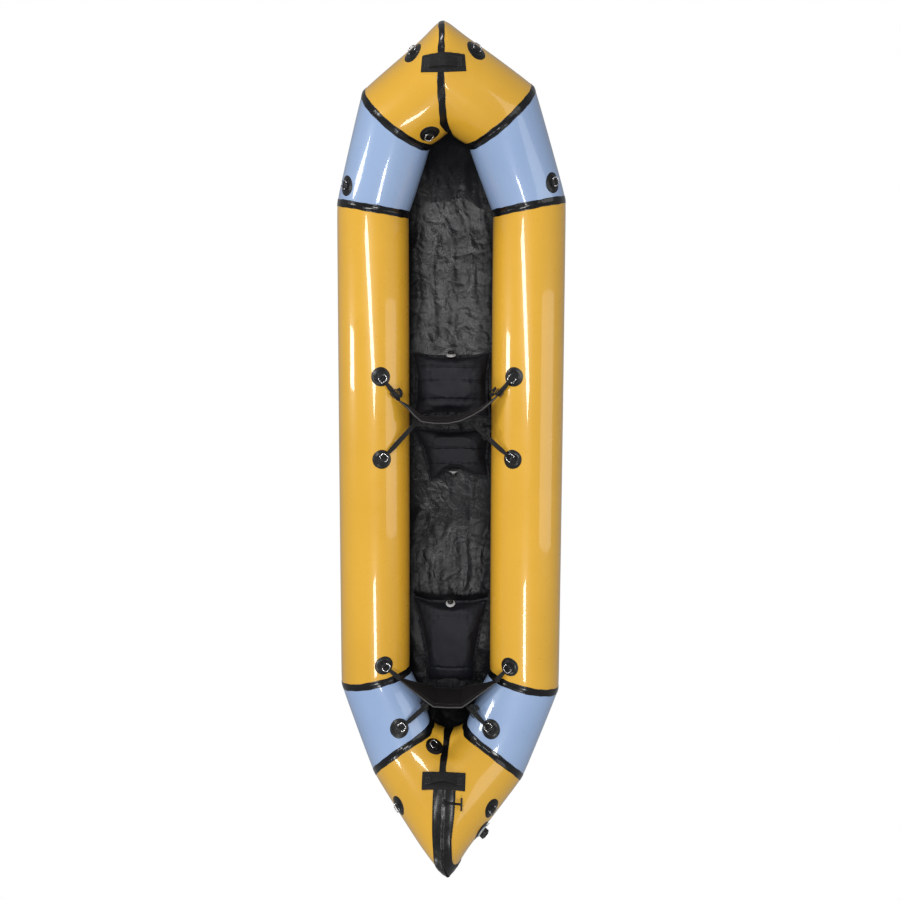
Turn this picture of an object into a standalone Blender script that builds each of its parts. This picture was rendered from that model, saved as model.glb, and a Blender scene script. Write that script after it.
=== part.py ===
"""Tandem packraft with two seats, a zip in the stern and sixteen lashing rings.

The bow points along +Y, starboard along +X and +Z is up. The hull stands on its two side tubes, and the
origin is on the ground under the middle of its outline. All lengths are in metres and angles in degrees.
"""
import math

import bmesh
import bpy
from mathutils import Matrix, Vector

# Hull: a ring of ten straight tubes with mitred ends, given along the tubes' centre lines
SIDE_SPACING = 0.610
SIDE_LENGTH = 1.884
TUBE_RADIUS = 0.140
BOW_RADIUS = 0.146
STERN_RADIUS = 0.155
BOW_QUARTER_RUN = 0.293
BOW_QUARTER_INSET = 0.115
BOW_QUARTER_RISE = 0.134
BOW_END_RUN = 0.092
BOW_END_RISE = 0.105
STERN_QUARTER_RUN = 0.292
STERN_QUARTER_INSET = 0.138
STERN_QUARTER_RISE = 0.052
STERN_END_RUN = 0.136
STERN_END_RISE = 0.161
SHELL_WALL = 0.002
HULL_FACET_COUNT = 32
GAP = 0.0003
MERGE_SHARE = 0.01
HALF = 0.5
ANGLE_STEP = 1.0
RIGHT_ANGLE = 90.0
FULL_ANGLE = 360.0

# Seam tapes over the mitres and along the seam between tubes and floor
TAPE_WIDTH = 0.026
TAPE_THICKNESS = 0.001
TAPE_SEAT = 0.0004
FLOOR_TAPE_FACET = 18
UNTAPED_FACETS = (14, 15, 16)
STERN_END = 0
STERN_QUARTER = 1
SIDE_SEGMENT = 2
BOW_QUARTER = 3
BOW_END = 4

# Floor sheet, hung between the tubes' lower inner sides
FLOOR_THICKNESS = 0.0025
FLOOR_SEAM_ANGLE = 212.0
FLOOR_SAG = 0.006
FLOOR_END_SHARE = 0.08

# Lashing patches with their webbing keepers and rings
PATCH_RADIUS = 0.037
PATCH_THICKNESS = 0.0014
PATCH_SEAT = 0.0007
PATCH_SIDE_COUNT = 14
WIRE_RADIUS = 0.002
WIRE_CORNER_SHARE = 0.5
RING_WIDTH = 0.030
RING_DEPTH = 0.023
RING_CORNER = 0.004
RING_STAND = 0.0012
HELD_RING_TILT = 8.0
RING_CLEARANCE = 0.0005
KEEPER_WIDTH = 0.021
KEEPER_REACH = 0.013
KEEPER_THICKNESS = 0.0016
FREE_RING_TILT = 12.0
RING_STEP_COUNT = 8
RING_SQUARE_SHARE = 0.6
KEEPER_STEP_COUNT = 6
KEEPER_SINK_SHARE = 0.7

# Webbing straps from the rings to the backrests
STRAP_WIDTH = 0.019
STRAP_NECK_WIDTH = 0.012
STRAP_THICKNESS = 0.0016
STRAP_EYE_CLEARANCE = 0.0014
STRAP_FOLD = 0.034
STRAP_END_GAP = 0.0006
STRAP_PLY_GAP = 0.0004
STRAP_NECK_SHARE = 2.2
STRAP_STEP_SHARES = (0.25, 0.5, 0.75, 1.0)
FOLD_ANGLES = (285.0, 255.0, 225.0, 180.0, 135.0, 105.0, 75.0)

# Seat cushions and foot brace
CUSHION_SEAM = 0.003
SEAT_THICKNESS = 0.098
SEAT_HALF_WIDTH = 0.154
FRONT_SEAT_LENGTH = 0.272
BRACE_THICKNESS = 0.084
BRACE_GAP = 0.020
BRACE_PORT_LENGTH = 0.226
BRACE_STARBOARD_LENGTH = 0.206
BRACE_NOTCH = 0.032
BRACE_TAPER = 0.062
REAR_SEAT_LENGTH = 0.366
REAR_SEAT_TAPER = 0.058
REAR_SEAT_GAP = 0.020
SIDE_DRAW = 0.006
END_DRAW = 0.012
CHANNEL_DEPTH = 0.007
CUSHION_LIFT = 0.0004
SEAM_SHARE = 0.42
CUSHION_COLUMN_COUNT = 14
CUSHION_ROW_COUNT = 14

# How fast a cushion's crown falls and its outline draws in, as powers of the place towards the sides and ends
CROWN_SHARES = (3, 4)
DRAW_SHARE = 3

# Places from -1 to 1 along and across a cushion: each channel's centre and breadth, and the valves
FRONT_SEAT_CHANNELS = ((-0.42, 0.10), (0.12, 0.10), (0.55, 0.10))
BRACE_CHANNELS = ((-0.30, 0.12), (0.25, 0.12))
REAR_SEAT_CHANNELS = ((-0.55, 0.08),)
SEAT_VALVE_PLACE = 0.94
NOTCH_PLACE = -0.16
NOTCH_REACH = 0.55

# Seat valves
SEAT_FLANGE_RADIUS = 0.019
SEAT_FLANGE_THICKNESS = 0.0022
SEAT_STEM_RADIUS = 0.0085
SEAT_STEM_LENGTH = 0.007
SEAT_CAP_RADIUS = 0.0125
SEAT_CAP_LENGTH = 0.009
VALVE_EDGE = 0.001
BRACE_VALVE_GAP = 0.0018
REAR_VALVE_SINK = 0.0005
SURFACE_STEP_COUNT = 400
VALVE_STEP_COUNT = 10

# Backrests: padded bands that stand across the cockpit behind each seat
BAND_TOP = 0.268
BAND_BOTTOM = 0.122
BAND_THICKNESS = 0.019
BAND_END_THICKNESS = 0.007
BAND_END_HEIGHT = 0.030
BAND_HALF_WIDTH = 0.186
BAND_DEPTH = 0.104
BAND_CLEARANCE = 0.003
BAND_LEVEL_SHARE = 0.42
BAND_RISE_SHARE = 0.8
BAND_TAPER_SHARE = 3
BAND_EDGE_SHARE = 0.45
BAND_SHOULDER_SHARE = 0.25
FRONT_LOWER_HEIGHT = 0.225
REAR_LOWER_HEIGHT = 0.252
FRONT_BAND_AHEAD = 0.106
REAR_BAND_ASTERN = 0.072

# Carrying handles, at angles round the ends' middle seams
HANDLE_PATCH_LENGTH = 0.164
BOW_PATCH_WIDTH = 0.060
STERN_PATCH_WIDTH = 0.062
BOW_HANDLE_ANGLE = 38.0
STERN_HANDLE_ANGLE = -8.5
HANDLE_LIFT = 0.0012
HANDLE_WEB_LENGTH = 0.140
HANDLE_WEB_WIDTH = 0.030
HANDLE_WEB_THICKNESS = 0.002
HANDLE_ARCH = 0.024
HANDLE_STEP_COUNT = 8
HANDLE_FOOT = 0.018

# Cargo zip over the stern's middle seam, from the handle down round the stern
ZIP_WIDTH = 0.084
ZIP_THICKNESS = 0.0016
ZIP_LIFT = 0.0008
ZIP_HANDLE_ANGLE = 0.6
ZIP_LAST_ANGLE = 140.0
ZIP_ROW_COUNT = 16
CHAIN_WIDTH = 0.007
CHAIN_HEIGHT = 0.0022
SLIDER_ANGLE = 9.5
SLIDER_LENGTH = 0.024
SLIDER_WIDTH = 0.015
SLIDER_HEIGHT = 0.0065
SLIDER_CLEARANCE = 0.0008
BRIDGE_SIZE = 0.0024
BRIDGE_RISE = 0.0090
BRIDGE_LENGTH = 0.0130
BEVEL_SHARE = 0.5
PULL_LENGTH = 0.074
PULL_WIDTH = 0.0085
PULL_THICKNESS = 0.0030
PULL_EYE_INNER = 0.0021
PULL_EYE_OUTER = 0.0050
PULL_EYE_WIDTH = 0.0040
PULL_BAR_LENGTH = 0.036
PULL_BAR_WIDTH = 0.0075
PULL_TILT = 21.0
GRIP_SHARE = 1.25

# Inflation valve on the starboard side of the stern
VALVE_SHARE = 0.10
VALVE_ANGLE = 60.0
VALVE_PATCH_RADIUS = 0.040
VALVE_FLANGE_RADIUS = 0.024
VALVE_FLANGE_THICKNESS = 0.0045
VALVE_BOSS_RADIUS = 0.0165
VALVE_BOSS_HEIGHT = 0.008
VALVE_CAP_RADIUS = 0.0175
VALVE_CAP_HEIGHT = 0.015
VALVE_CAP_WALL = 0.0022
VALVE_CAP_LAP = 0.006
VALVE_CAP_CLEARANCE = 0.0005
TETHER_RADIUS = 0.010
TETHER_WIRE = 0.0014

# Mesh finish
BEND_ANGLE = 34.0
TURNED_SIDE_COUNT = 18
WIRE_SIDE_COUNT = 6

X_AXIS = Vector((1, 0, 0))
Y_AXIS = Vector((0, 1, 0))
Z_AXIS = Vector((0, 0, 1))
STARBOARD = 1
PORT = -1

# Finishes as colour, roughness and metallic
YELLOW = ("shell_yellow", (0.74, 0.41, 0.045), 0.30, 0.0)
BLUE = ("shell_blue", (0.31, 0.45, 0.68), 0.32, 0.0)
TAPE_BLACK = ("tape_black", (0.014, 0.014, 0.015), 0.28, 0.0)
FLOOR_BLACK = ("floor_black", (0.030, 0.031, 0.034), 0.38, 0.0)
CUSHION_BLACK = ("cushion_black", (0.022, 0.023, 0.028), 0.55, 0.0)
BAND_BLACK = ("band_black", (0.016, 0.015, 0.017), 0.65, 0.0)
WEB_BLACK = ("webbing_black", (0.018, 0.019, 0.020), 0.60, 0.0)
PATCH_BLACK = ("patch_black", (0.020, 0.020, 0.022), 0.35, 0.0)
RING_STEEL = ("ring_steel", (0.46, 0.46, 0.48), 0.25, 1.0)
ZIP_BLACK = ("zip_black", (0.020, 0.020, 0.021), 0.32, 0.0)
VALVE_BLACK = ("valve_black", (0.016, 0.016, 0.018), 0.40, 0.0)
VALVE_GREY = ("valve_grey", (0.42, 0.43, 0.44), 0.40, 0.0)

for left_over in list(bpy.data.objects):
    bpy.data.objects.remove(left_over)


def finish_material(finish):
    """The material of a finish, made once."""
    name, colour, roughness, metallic = finish
    if name in bpy.data.materials:
        return bpy.data.materials[name]
    material = bpy.data.materials.new(name)
    material.use_nodes = True
    shader = material.node_tree.nodes["Principled BSDF"]
    shader.inputs["Base Color"].default_value = (*colour, 1.0)
    shader.inputs["Roughness"].default_value = roughness
    shader.inputs["Metallic"].default_value = metallic
    return material


def add_piece(name, bm, finish, pivot=None):
    """Closes a bmesh into a named object whose origin is its pivot."""
    bmesh.ops.recalc_face_normals(bm, faces=bm.faces)
    if bm.calc_volume(signed=True) < 0:
        bmesh.ops.reverse_faces(bm, faces=bm.faces)
    origin = pivot if pivot else Vector((0, 0, 0))
    bmesh.ops.translate(bm, verts=bm.verts, vec=-origin)
    mesh = bpy.data.meshes.new(name)
    bm.to_mesh(mesh)
    bm.free()
    mesh.shade_smooth()
    mesh.set_sharp_from_angle(angle=math.radians(BEND_ANGLE))
    mesh.materials.append(finish_material(finish))
    piece = bpy.data.objects.new(name, mesh)
    piece.location = origin
    bpy.context.scene.collection.objects.link(piece)
    return piece


def union(bodies):
    """One bmesh of several overlapping closed bmeshes."""
    objects = []
    for number, bm in enumerate(bodies):
        bmesh.ops.recalc_face_normals(bm, faces=bm.faces)
        mesh = bpy.data.meshes.new("union_part")
        bm.to_mesh(mesh)
        bm.free()
        helper = bpy.data.objects.new("union_part", mesh)
        bpy.context.scene.collection.objects.link(helper)
        objects.append(helper)
    base = objects[0]
    for helper in objects[1:]:
        modifier = base.modifiers.new("join", "BOOLEAN")
        modifier.operation = "UNION"
        modifier.object = helper
    graph = bpy.context.evaluated_depsgraph_get()
    joined = bmesh.new()
    joined.from_object(base, graph)
    for helper in objects:
        mesh = helper.data
        bpy.data.objects.remove(helper)
        bpy.data.meshes.remove(mesh)
    bmesh.ops.dissolve_degenerate(joined, dist=GAP * MERGE_SHARE, edges=joined.edges)
    return joined


def loft(rings, close=False):
    """A body through rings of equal count. An open row of rings gets flat ends."""
    bm = bmesh.new()
    rows = [[bm.verts.new(point) for point in ring] for ring in rings]
    count = len(rows[0])
    pairs = list(zip(rows, rows[1:]))
    if close:
        pairs.append((rows[-1], rows[0]))
    for low, high in pairs:
        for k in range(count):
            after = (k + 1) % count
            bm.faces.new((low[k], low[after], high[after], high[k]))
    if not close:
        bm.faces.new(rows[0][::-1])
        bm.faces.new(rows[-1])
    return bm


def turned(profile, place, side_count=TURNED_SIDE_COUNT):
    """A solid turned about the local Z axis from (radius, height) pairs, its first and last on the axis."""
    bm = bmesh.new()
    low = bm.verts.new(place @ Vector((0, 0, profile[0][1])))
    high = bm.verts.new(place @ Vector((0, 0, profile[-1][1])))
    rings = []
    for radius, height in profile[1:-1]:
        turns = [math.tau * k / side_count for k in range(side_count)]
        points = [Vector((radius * math.cos(turn), radius * math.sin(turn), height)) for turn in turns]
        rings.append([bm.verts.new(place @ point) for point in points])
    for k in range(side_count):
        after = (k + 1) % side_count
        bm.faces.new((low, rings[0][after], rings[0][k]))
        bm.faces.new((high, rings[-1][k], rings[-1][after]))
        for below, above in zip(rings, rings[1:]):
            bm.faces.new((below[k], below[after], above[after], above[k]))
    return bm


def wire_ring(points, radius, normal, side_count=WIRE_SIDE_COUNT):
    """A round wire along a flat closed loop of points."""
    count = len(points)
    rings = []
    for k in range(count):
        before = (points[k] - points[k - 1]).normalized()
        after = (points[(k + 1) % count] - points[k]).normalized()
        along = (before + after).normalized()
        across = along.cross(normal).normalized()
        stretch = 1 / max(along.dot(after), WIRE_CORNER_SHARE)
        ring = []
        for side in range(side_count):
            turn = math.tau * (side + HALF) / side_count
            reach = across * math.cos(turn) * stretch + normal * math.sin(turn)
            ring.append(points[k] + reach * radius)
        rings.append(ring)
    return loft(rings, close=True)


def ribbon(path, widths, sides, thickness, face=None):
    """A flat band along a path. Each point has its width and the direction that the width runs in.

    The last end is cut along an upright face where one is given by its level direction.
    """
    rings = []
    for k, point in enumerate(path):
        before = path[max(k - 1, 0)]
        after = path[min(k + 1, len(path) - 1)]
        along = (after - before).normalized()
        across = (sides[k] - along * sides[k].dot(along)).normalized()
        normal = along.cross(across)
        half = across * widths[k] / 2
        deep = normal * thickness / 2
        if face and k == len(path) - 1:
            half = sides[k] * widths[k] / 2
            deep = face * math.copysign(thickness / 2, face.dot(normal))
        rings.append([point - half - deep, point + half - deep, point + half + deep, point - half + deep])
    band = loft(rings)
    bmesh.ops.triangulate(band, faces=band.faces)
    return band


def box_between(low, high, place):
    """A box between two local corners, placed by a matrix."""
    bm = bmesh.new()
    bmesh.ops.create_cube(bm, size=1.0)
    size = high - low
    middle = (low + high) / 2
    for vert in bm.verts:
        vert.co = place @ (middle + Vector((vert.co.x * size.x, vert.co.y * size.y, vert.co.z * size.z)))
    bm.normal_update()
    return bm


def frame_at(origin, x_direction, y_direction):
    """A matrix with its origin and the directions of its X and Y axes."""
    x_axis = x_direction.normalized()
    y_axis = (y_direction - x_axis * y_direction.dot(x_axis)).normalized()
    z_axis = x_axis.cross(y_axis)
    place = Matrix((x_axis, y_axis, z_axis)).transposed().to_4x4()
    place.translation = origin
    return place


def lerp(low, high, share):
    """The value a share of the way from low to high."""
    return low + (high - low) * share


# The hull's starboard half as five straight tubes, from the stern's middle to the bow's
SEGMENT_NAMES = ("stern_end", "stern_quarter", "side", "bow_quarter", "bow_end")


class Segment:
    """One tube: its joints, radii, mitre planes and a frame that follows the bends without twist."""

    def __init__(self, start, end, radii, normals, up, out):
        self.start = start
        self.end = end
        self.radii = radii
        self.normals = normals
        self.axis = (end - start).normalized()
        self.length = (end - start).length
        self.up = up
        self.out = out
        top = Z_AXIS - self.axis * self.axis.z
        self.twist = math.degrees(math.atan2(top.dot(out), top.dot(up)))


def hull_segments():
    """The five segments of the starboard half."""
    rest = TUBE_RADIUS * math.cos(math.pi / HULL_FACET_COUNT)
    half = SIDE_SPACING / 2
    joints = [Vector((0, -SIDE_LENGTH / 2 - STERN_QUARTER_RUN - STERN_END_RUN,
                      rest + STERN_QUARTER_RISE + STERN_END_RISE))]
    joints.append(Vector((half - STERN_QUARTER_INSET, -SIDE_LENGTH / 2 - STERN_QUARTER_RUN,
                          rest + STERN_QUARTER_RISE)))
    joints.append(Vector((half, -SIDE_LENGTH / 2, rest)))
    joints.append(Vector((half, SIDE_LENGTH / 2, rest)))
    joints.append(Vector((half - BOW_QUARTER_INSET, SIDE_LENGTH / 2 + BOW_QUARTER_RUN,
                          rest + BOW_QUARTER_RISE)))
    joints.append(Vector((0, SIDE_LENGTH / 2 + BOW_QUARTER_RUN + BOW_END_RUN,
                          rest + BOW_QUARTER_RISE + BOW_END_RISE)))
    radii = [STERN_RADIUS, STERN_RADIUS, TUBE_RADIUS, TUBE_RADIUS, BOW_RADIUS, BOW_RADIUS]
    axes = [(b - a).normalized() for a, b in zip(joints, joints[1:])]
    normals = [X_AXIS]
    normals += [(a + b).normalized() for a, b in zip(axes, axes[1:])]
    normals.append(X_AXIS)
    ups = {SIDE_SEGMENT: Z_AXIS}
    outs = {SIDE_SEGMENT: X_AXIS}
    for known, wanted in ((SIDE_SEGMENT, BOW_QUARTER), (BOW_QUARTER, BOW_END),
                          (SIDE_SEGMENT, STERN_QUARTER), (STERN_QUARTER, STERN_END)):
        turn = axes[known].rotation_difference(axes[wanted])
        ups[wanted] = turn @ ups[known]
        outs[wanted] = turn @ outs[known]
    return [Segment(joints[i], joints[i + 1], radii[i:i + 2], normals[i:i + 2], ups[i], outs[i])
            for i in range(len(axes))]


SEGMENTS = hull_segments()


def mitre_point(joint, axis, normal, reach):
    """Where the line along a tube's surface meets its mitre plane."""
    return joint + reach - axis * (reach.dot(normal) / axis.dot(normal))


def surface_line(number, angle, offset):
    """The start and end of a tube's surface line at an angle of its own frame."""
    tube = SEGMENTS[number]
    radial = tube.up * math.cos(math.radians(angle)) + tube.out * math.sin(math.radians(angle))
    first = mitre_point(tube.start, tube.axis, tube.normals[0], radial * (tube.radii[0] + offset))
    last = mitre_point(tube.end, tube.axis, tube.normals[1], radial * (tube.radii[1] + offset))
    return first, last


def mirrored(point, side):
    """A starboard point on the asked side."""
    return Vector((point.x * side, point.y, point.z))


def surface_point(number, side, share, angle, offset=0.0):
    """A point over a tube, at a share of its centre line and an angle from its top towards outboard."""
    tube = SEGMENTS[number]
    first, last = surface_line(number, angle + tube.twist, offset)
    begin = (first - tube.start).dot(tube.axis)
    reach = (last - first).dot(tube.axis)
    return mirrored(first + (last - first) * ((share * tube.length - begin) / reach), side)


def facet_angle():
    """The angle that one facet of the hull takes."""
    return FULL_ANGLE / HULL_FACET_COUNT


def facet_steps():
    """The corners of the facets. They straddle the bottom, so the side tubes stand on a flat facet."""
    return [k + HALF for k in range(HULL_FACET_COUNT)]


class EndSeam:
    """The middle seam of an end, where the two end tubes meet in the plane x = 0.

    Angles run round the tube from the seam's smoothest point, where the tubes meet without a ridge, and
    they grow towards the outside of the hull.
    """

    def __init__(self, number):
        tube = SEGMENTS[number]
        at_start = number == STERN_END
        self.joint = tube.start if at_start else tube.end
        self.radius = tube.radii[0] if at_start else tube.radii[1]
        self.away = tube.axis if at_start else -tube.axis
        smooth = X_AXIS.cross(self.away).normalized()
        self.smooth = smooth if smooth.z > 0 else -smooth
        self.outer = (X_AXIS - self.away * self.away.x).normalized()
        self.smooth_facet_angle = math.degrees(math.atan2(self.smooth.dot(tube.out), self.smooth.dot(tube.up)))

    def radial(self, angle):
        """The starboard tube's outward direction at an angle."""
        turn = math.radians(angle)
        return self.smooth * math.cos(turn) + self.outer * math.sin(turn)

    def ridge(self, angle, offset):
        """The seam's point at an angle and an offset off the hull."""
        reach = self.radial(angle) * (self.radius + offset)
        return self.joint + reach - self.away * (reach.x / self.away.x)

    def ridge_frame(self, angle, offset):
        """A frame on the seam: X to starboard, Y along the seam outwards and Z off the hull."""
        ahead = self.ridge(angle + ANGLE_STEP, offset)
        behind = self.ridge(angle - ANGLE_STEP, offset)
        seat = frame_at(self.ridge(angle, offset), X_AXIS, ahead - behind)
        if (seat.to_3x3() @ Z_AXIS).dot(self.radial(angle)) < 0:
            seat = frame_at(self.ridge(angle, offset), -X_AXIS, ahead - behind)
        return seat

    def spot(self, angle, across, offset):
        """A point off the hull, a distance across the seam: straight over it on the unrolled tube."""
        flank = (self.ridge(angle + ANGLE_STEP, 0.0) - self.ridge(angle - ANGLE_STEP, 0.0)).normalized()
        square = flank.cross(self.radial(angle)).normalized()
        if square.x < 0:
            square = -square
        reach = abs(across)
        around = self.radial(angle + RIGHT_ANGLE)
        turn = math.degrees(reach * square.dot(around) / self.radius)
        start = self.ridge(angle, offset)
        along = (start - self.joint).dot(self.away) + reach * square.dot(self.away)
        point = self.joint + self.away * along + self.radial(angle + turn) * (self.radius + offset)
        return mirrored(point, STARBOARD if across >= 0 else PORT)

    def girth(self, width, angle):
        """The angle that a width along the seam takes."""
        ahead = self.ridge(angle + ANGLE_STEP, 0.0)
        behind = self.ridge(angle - ANGLE_STEP, 0.0)
        return width * 2 * ANGLE_STEP / (ahead - behind).length


BOW_SEAM = EndSeam(BOW_END)
STERN_SEAM = EndSeam(STERN_END)

ZIP_FIRST_ANGLE = (STERN_HANDLE_ANGLE + ZIP_HANDLE_ANGLE
                   + STERN_SEAM.girth(STERN_PATCH_WIDTH, STERN_HANDLE_ANGLE) / 2)
ZIP_OFFSET = TAPE_SEAT + TAPE_THICKNESS + ZIP_LIFT
ZIP_TOP = ZIP_OFFSET + ZIP_THICKNESS
CHAIN_TOP = ZIP_TOP + CHAIN_HEIGHT


def zip_angles():
    """The zip's rows, as angles round the stern's middle seam."""
    return [lerp(ZIP_FIRST_ANGLE, ZIP_LAST_ANGLE, k / ZIP_ROW_COUNT) for k in range(ZIP_ROW_COUNT + 1)]


def middle_y():
    """Half-way between the hull's foremost and rearmost points."""
    tape_top = TAPE_SEAT + TAPE_THICKNESS
    bow = max(surface_line(BOW_END, k * facet_angle(), tape_top)[1].y for k in facet_steps())
    stern = min(STERN_SEAM.ridge(angle, CHAIN_TOP).y for angle in zip_angles())
    return (bow + stern) / 2


MIDDLE = Vector((0, middle_y(), 0))


def place(point):
    """A hull point in the part's frame, whose origin is under the middle of the outline."""
    return point - MIDDLE


def placed(frame):
    """A hull frame in the part's frame."""
    return Matrix.Translation(-MIDDLE) @ frame


def hull_place(number, side, share, angle, offset=0.0):
    """A point over the hull in the part's frame."""
    return place(surface_point(number, side, share, angle, offset))


def hull_frame(number, side, share, angle, offset):
    """The point, the outward normal, the tube's direction and the direction down its outboard flank."""
    tube = SEGMENTS[number]
    turn = math.radians(angle + tube.twist)
    normal = mirrored(tube.up * math.cos(turn) + tube.out * math.sin(turn), side)
    down = mirrored(tube.out * math.cos(turn) - tube.up * math.sin(turn), side)
    return hull_place(number, side, share, angle, offset), normal, mirrored(tube.axis, side), down


def hull_panel(name, number, side, finish):
    """A tube panel of coated cloth, open at its mitred ends."""
    rings = []
    for offset, order in ((0.0, 1), (-SHELL_WALL, -1)):
        ends = ([], [])
        for k in facet_steps():
            first, last = surface_line(number, k * facet_angle(), offset)
            inset = (last - first).normalized() * GAP / 2
            ends[0].append(place(mirrored(first + inset, side)))
            ends[1].append(place(mirrored(last - inset, side)))
        rings += ends[::order]
    add_piece(name, loft(rings, close=True), finish)


def skin(stations, cells, offsets):
    """A layer over the hull. Stations give a point from a facet corner and an offset, and cells are its faces."""
    bm = bmesh.new()
    known = {}

    def corner(row, step, layer):
        key = (row, step % HULL_FACET_COUNT, layer)
        if key not in known:
            known[key] = bm.verts.new(stations[row](key[1] + HALF, offsets[layer]))
        return known[key]

    chosen = set(cells)
    for row, facet in cells:
        round_about = [(row, facet), (row + 1, facet), (row + 1, facet + 1), (row, facet + 1)]
        outside = [corner(r, f, 1) for r, f in round_about]
        inside = [corner(r, f, 0) for r, f in round_about]
        bm.faces.new(outside)
        bm.faces.new(inside[::-1])
        neighbours = [(row, (facet - 1) % HULL_FACET_COUNT), (row + 1, facet),
                      (row, (facet + 1) % HULL_FACET_COUNT), (row - 1, facet)]
        for k, neighbour in enumerate(neighbours):
            if neighbour not in chosen:
                after = (k + 1) % 4
                bm.faces.new((outside[after], outside[k], inside[k], inside[after]))
    return bm


def station(number, side, mitre, inset):
    """A row of skin corners at an inset from one of a tube's mitres: 0 at its start, 1 at its end."""

    def point(step, offset):
        ends = surface_line(number, step * facet_angle(), offset)
        along = (ends[1 - mitre] - ends[mitre]).normalized()
        return place(mirrored(ends[mitre] + along * inset, side))

    return point


def middle_station(side, towards):
    """A row of skin corners beside the middle of a side tube, on the side of the asked end."""

    def point(step, offset):
        first, last = surface_line(SIDE_SEGMENT, step * facet_angle(), offset)
        along = (last - first).normalized()
        return place(mirrored((first + last) / 2 + along * towards * GAP / 2, side))

    return point


def end_rows(chain, ahead, towards):
    """The skin's rows from one side tube over the end's middle mitre to the other side tube."""
    half = TAPE_WIDTH / 2
    halves = []
    for side in (STARBOARD, PORT):
        rows = [middle_station(side, towards)]
        for order, number in enumerate(chain):
            if order:
                rows.append(station(number, side, 1 - ahead, half))
            rows.append(station(number, side, ahead, half))
            rows.append(station(number, side, ahead, 0.0))
        halves.append(rows)
    return halves[0] + halves[1][-2::-1]


def end_tapes(name, chain, ahead, towards, left_open):
    """The tapes over an end's five mitres, joined by the tape along the floor seam."""
    rows = end_rows(chain, ahead, towards)
    middle = len(rows) // 2
    cells = []
    for row in range(len(rows) - 1):
        if row % 3 == 0:
            cells.append((row, FLOOR_TAPE_FACET))
            continue
        beside_side_tube = row in (1, 2, len(rows) - 4, len(rows) - 3)
        for facet in range(HULL_FACET_COUNT):
            if beside_side_tube and facet in UNTAPED_FACETS:
                continue
            if row in (middle - 1, middle) and facet in left_open:
                continue
            cells.append((row, facet))
    add_piece(name, skin(rows, cells, (TAPE_SEAT, TAPE_SEAT + TAPE_THICKNESS)), TAPE_BLACK)


# Rows across the floor as shares of each tube's seam line, stern to bow
FLOOR_ROW_SHARES = ((FLOOR_END_SHARE, 0.35, 0.7, 1.0), (0.33, 0.67, 1.0), (0.2, 0.4, 0.6, 0.8, 1.0),
                    (0.33, 0.67, 1.0), (0.3, 0.65, 1 - FLOOR_END_SHARE))
FLOOR_COLUMN_SHARES = (-1.0, -0.8, -0.4, 0.0, 0.4, 0.8, 1.0)


def floor_edge(number, share):
    """The starboard edge of the floor's middle surface."""
    offset = TAPE_SEAT + TAPE_THICKNESS + GAP + FLOOR_THICKNESS / 2
    first, last = surface_line(number, FLOOR_SEAM_ANGLE, offset)
    return place(lerp(first, last, share))


def floor_sheet(name):
    """The cloth floor, sagging between its seams."""
    rings = []
    for edge in [floor_edge(number, share) for number, row in enumerate(FLOOR_ROW_SHARES) for share in row]:
        sag = FLOOR_SAG * min(edge.x / floor_edge(SIDE_SEGMENT, HALF).x, 1.0)
        middle = [Vector((edge.x * column, edge.y, edge.z - sag * (1 - column ** 2)))
                  for column in FLOOR_COLUMN_SHARES]
        deep = Z_AXIS * FLOOR_THICKNESS / 2
        rings.append([point - deep for point in middle] + [point + deep for point in reversed(middle)])
    add_piece(name, loft(rings), FLOOR_BLACK)


def floor_top(x):
    """The height of the floor's upper face between the side tubes."""
    edge = floor_edge(SIDE_SEGMENT, HALF)
    return edge.z - FLOOR_SAG * (1 - (x / edge.x) ** 2) + FLOOR_THICKNESS / 2


# Lashing points: tube, side, share of its length and angle from its top. A free ring adds its heading, from
# the tube's direction towards its outboard flank.
FREE_RING_SHARES = {
    "bow_side_port": (BOW_END, PORT, 0.87, 40.0, 90.0),
    "bow_side_starboard": (BOW_END, STARBOARD, 0.90, 39.0, 90.0),
    "bow_inner": (BOW_END, PORT, 0.46, -71.0, 200.0),
    "bow_quarter_port": (BOW_QUARTER, PORT, 0.20, 42.0, 90.0),
    "bow_quarter_starboard": (BOW_QUARTER, STARBOARD, 0.20, 42.0, 90.0),
    "stern_inner": (STERN_END, PORT, 0.61, -64.0, 20.0),
    "stern_side_port": (STERN_END, PORT, 0.36, 38.0, 90.0),
    "stern_side_starboard": (STERN_END, STARBOARD, 0.36, 36.0, 90.0),
}
HELD_RING_SHARES = {
    "front_upper_port": (SIDE_SEGMENT, PORT, 0.650, -20.0),
    "front_upper_starboard": (SIDE_SEGMENT, STARBOARD, 0.650, -24.0),
    "front_lower_port": (SIDE_SEGMENT, PORT, 0.482, -21.0),
    "front_lower_starboard": (SIDE_SEGMENT, STARBOARD, 0.484, -25.0),
    "rear_upper_port": (SIDE_SEGMENT, PORT, 0.049, -23.0),
    "rear_upper_starboard": (SIDE_SEGMENT, STARBOARD, 0.052, -27.0),
    "rear_lower_port": (STERN_QUARTER, PORT, 0.376, -19.0),
    "rear_lower_starboard": (STERN_QUARTER, STARBOARD, 0.376, -25.0),
}


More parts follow.
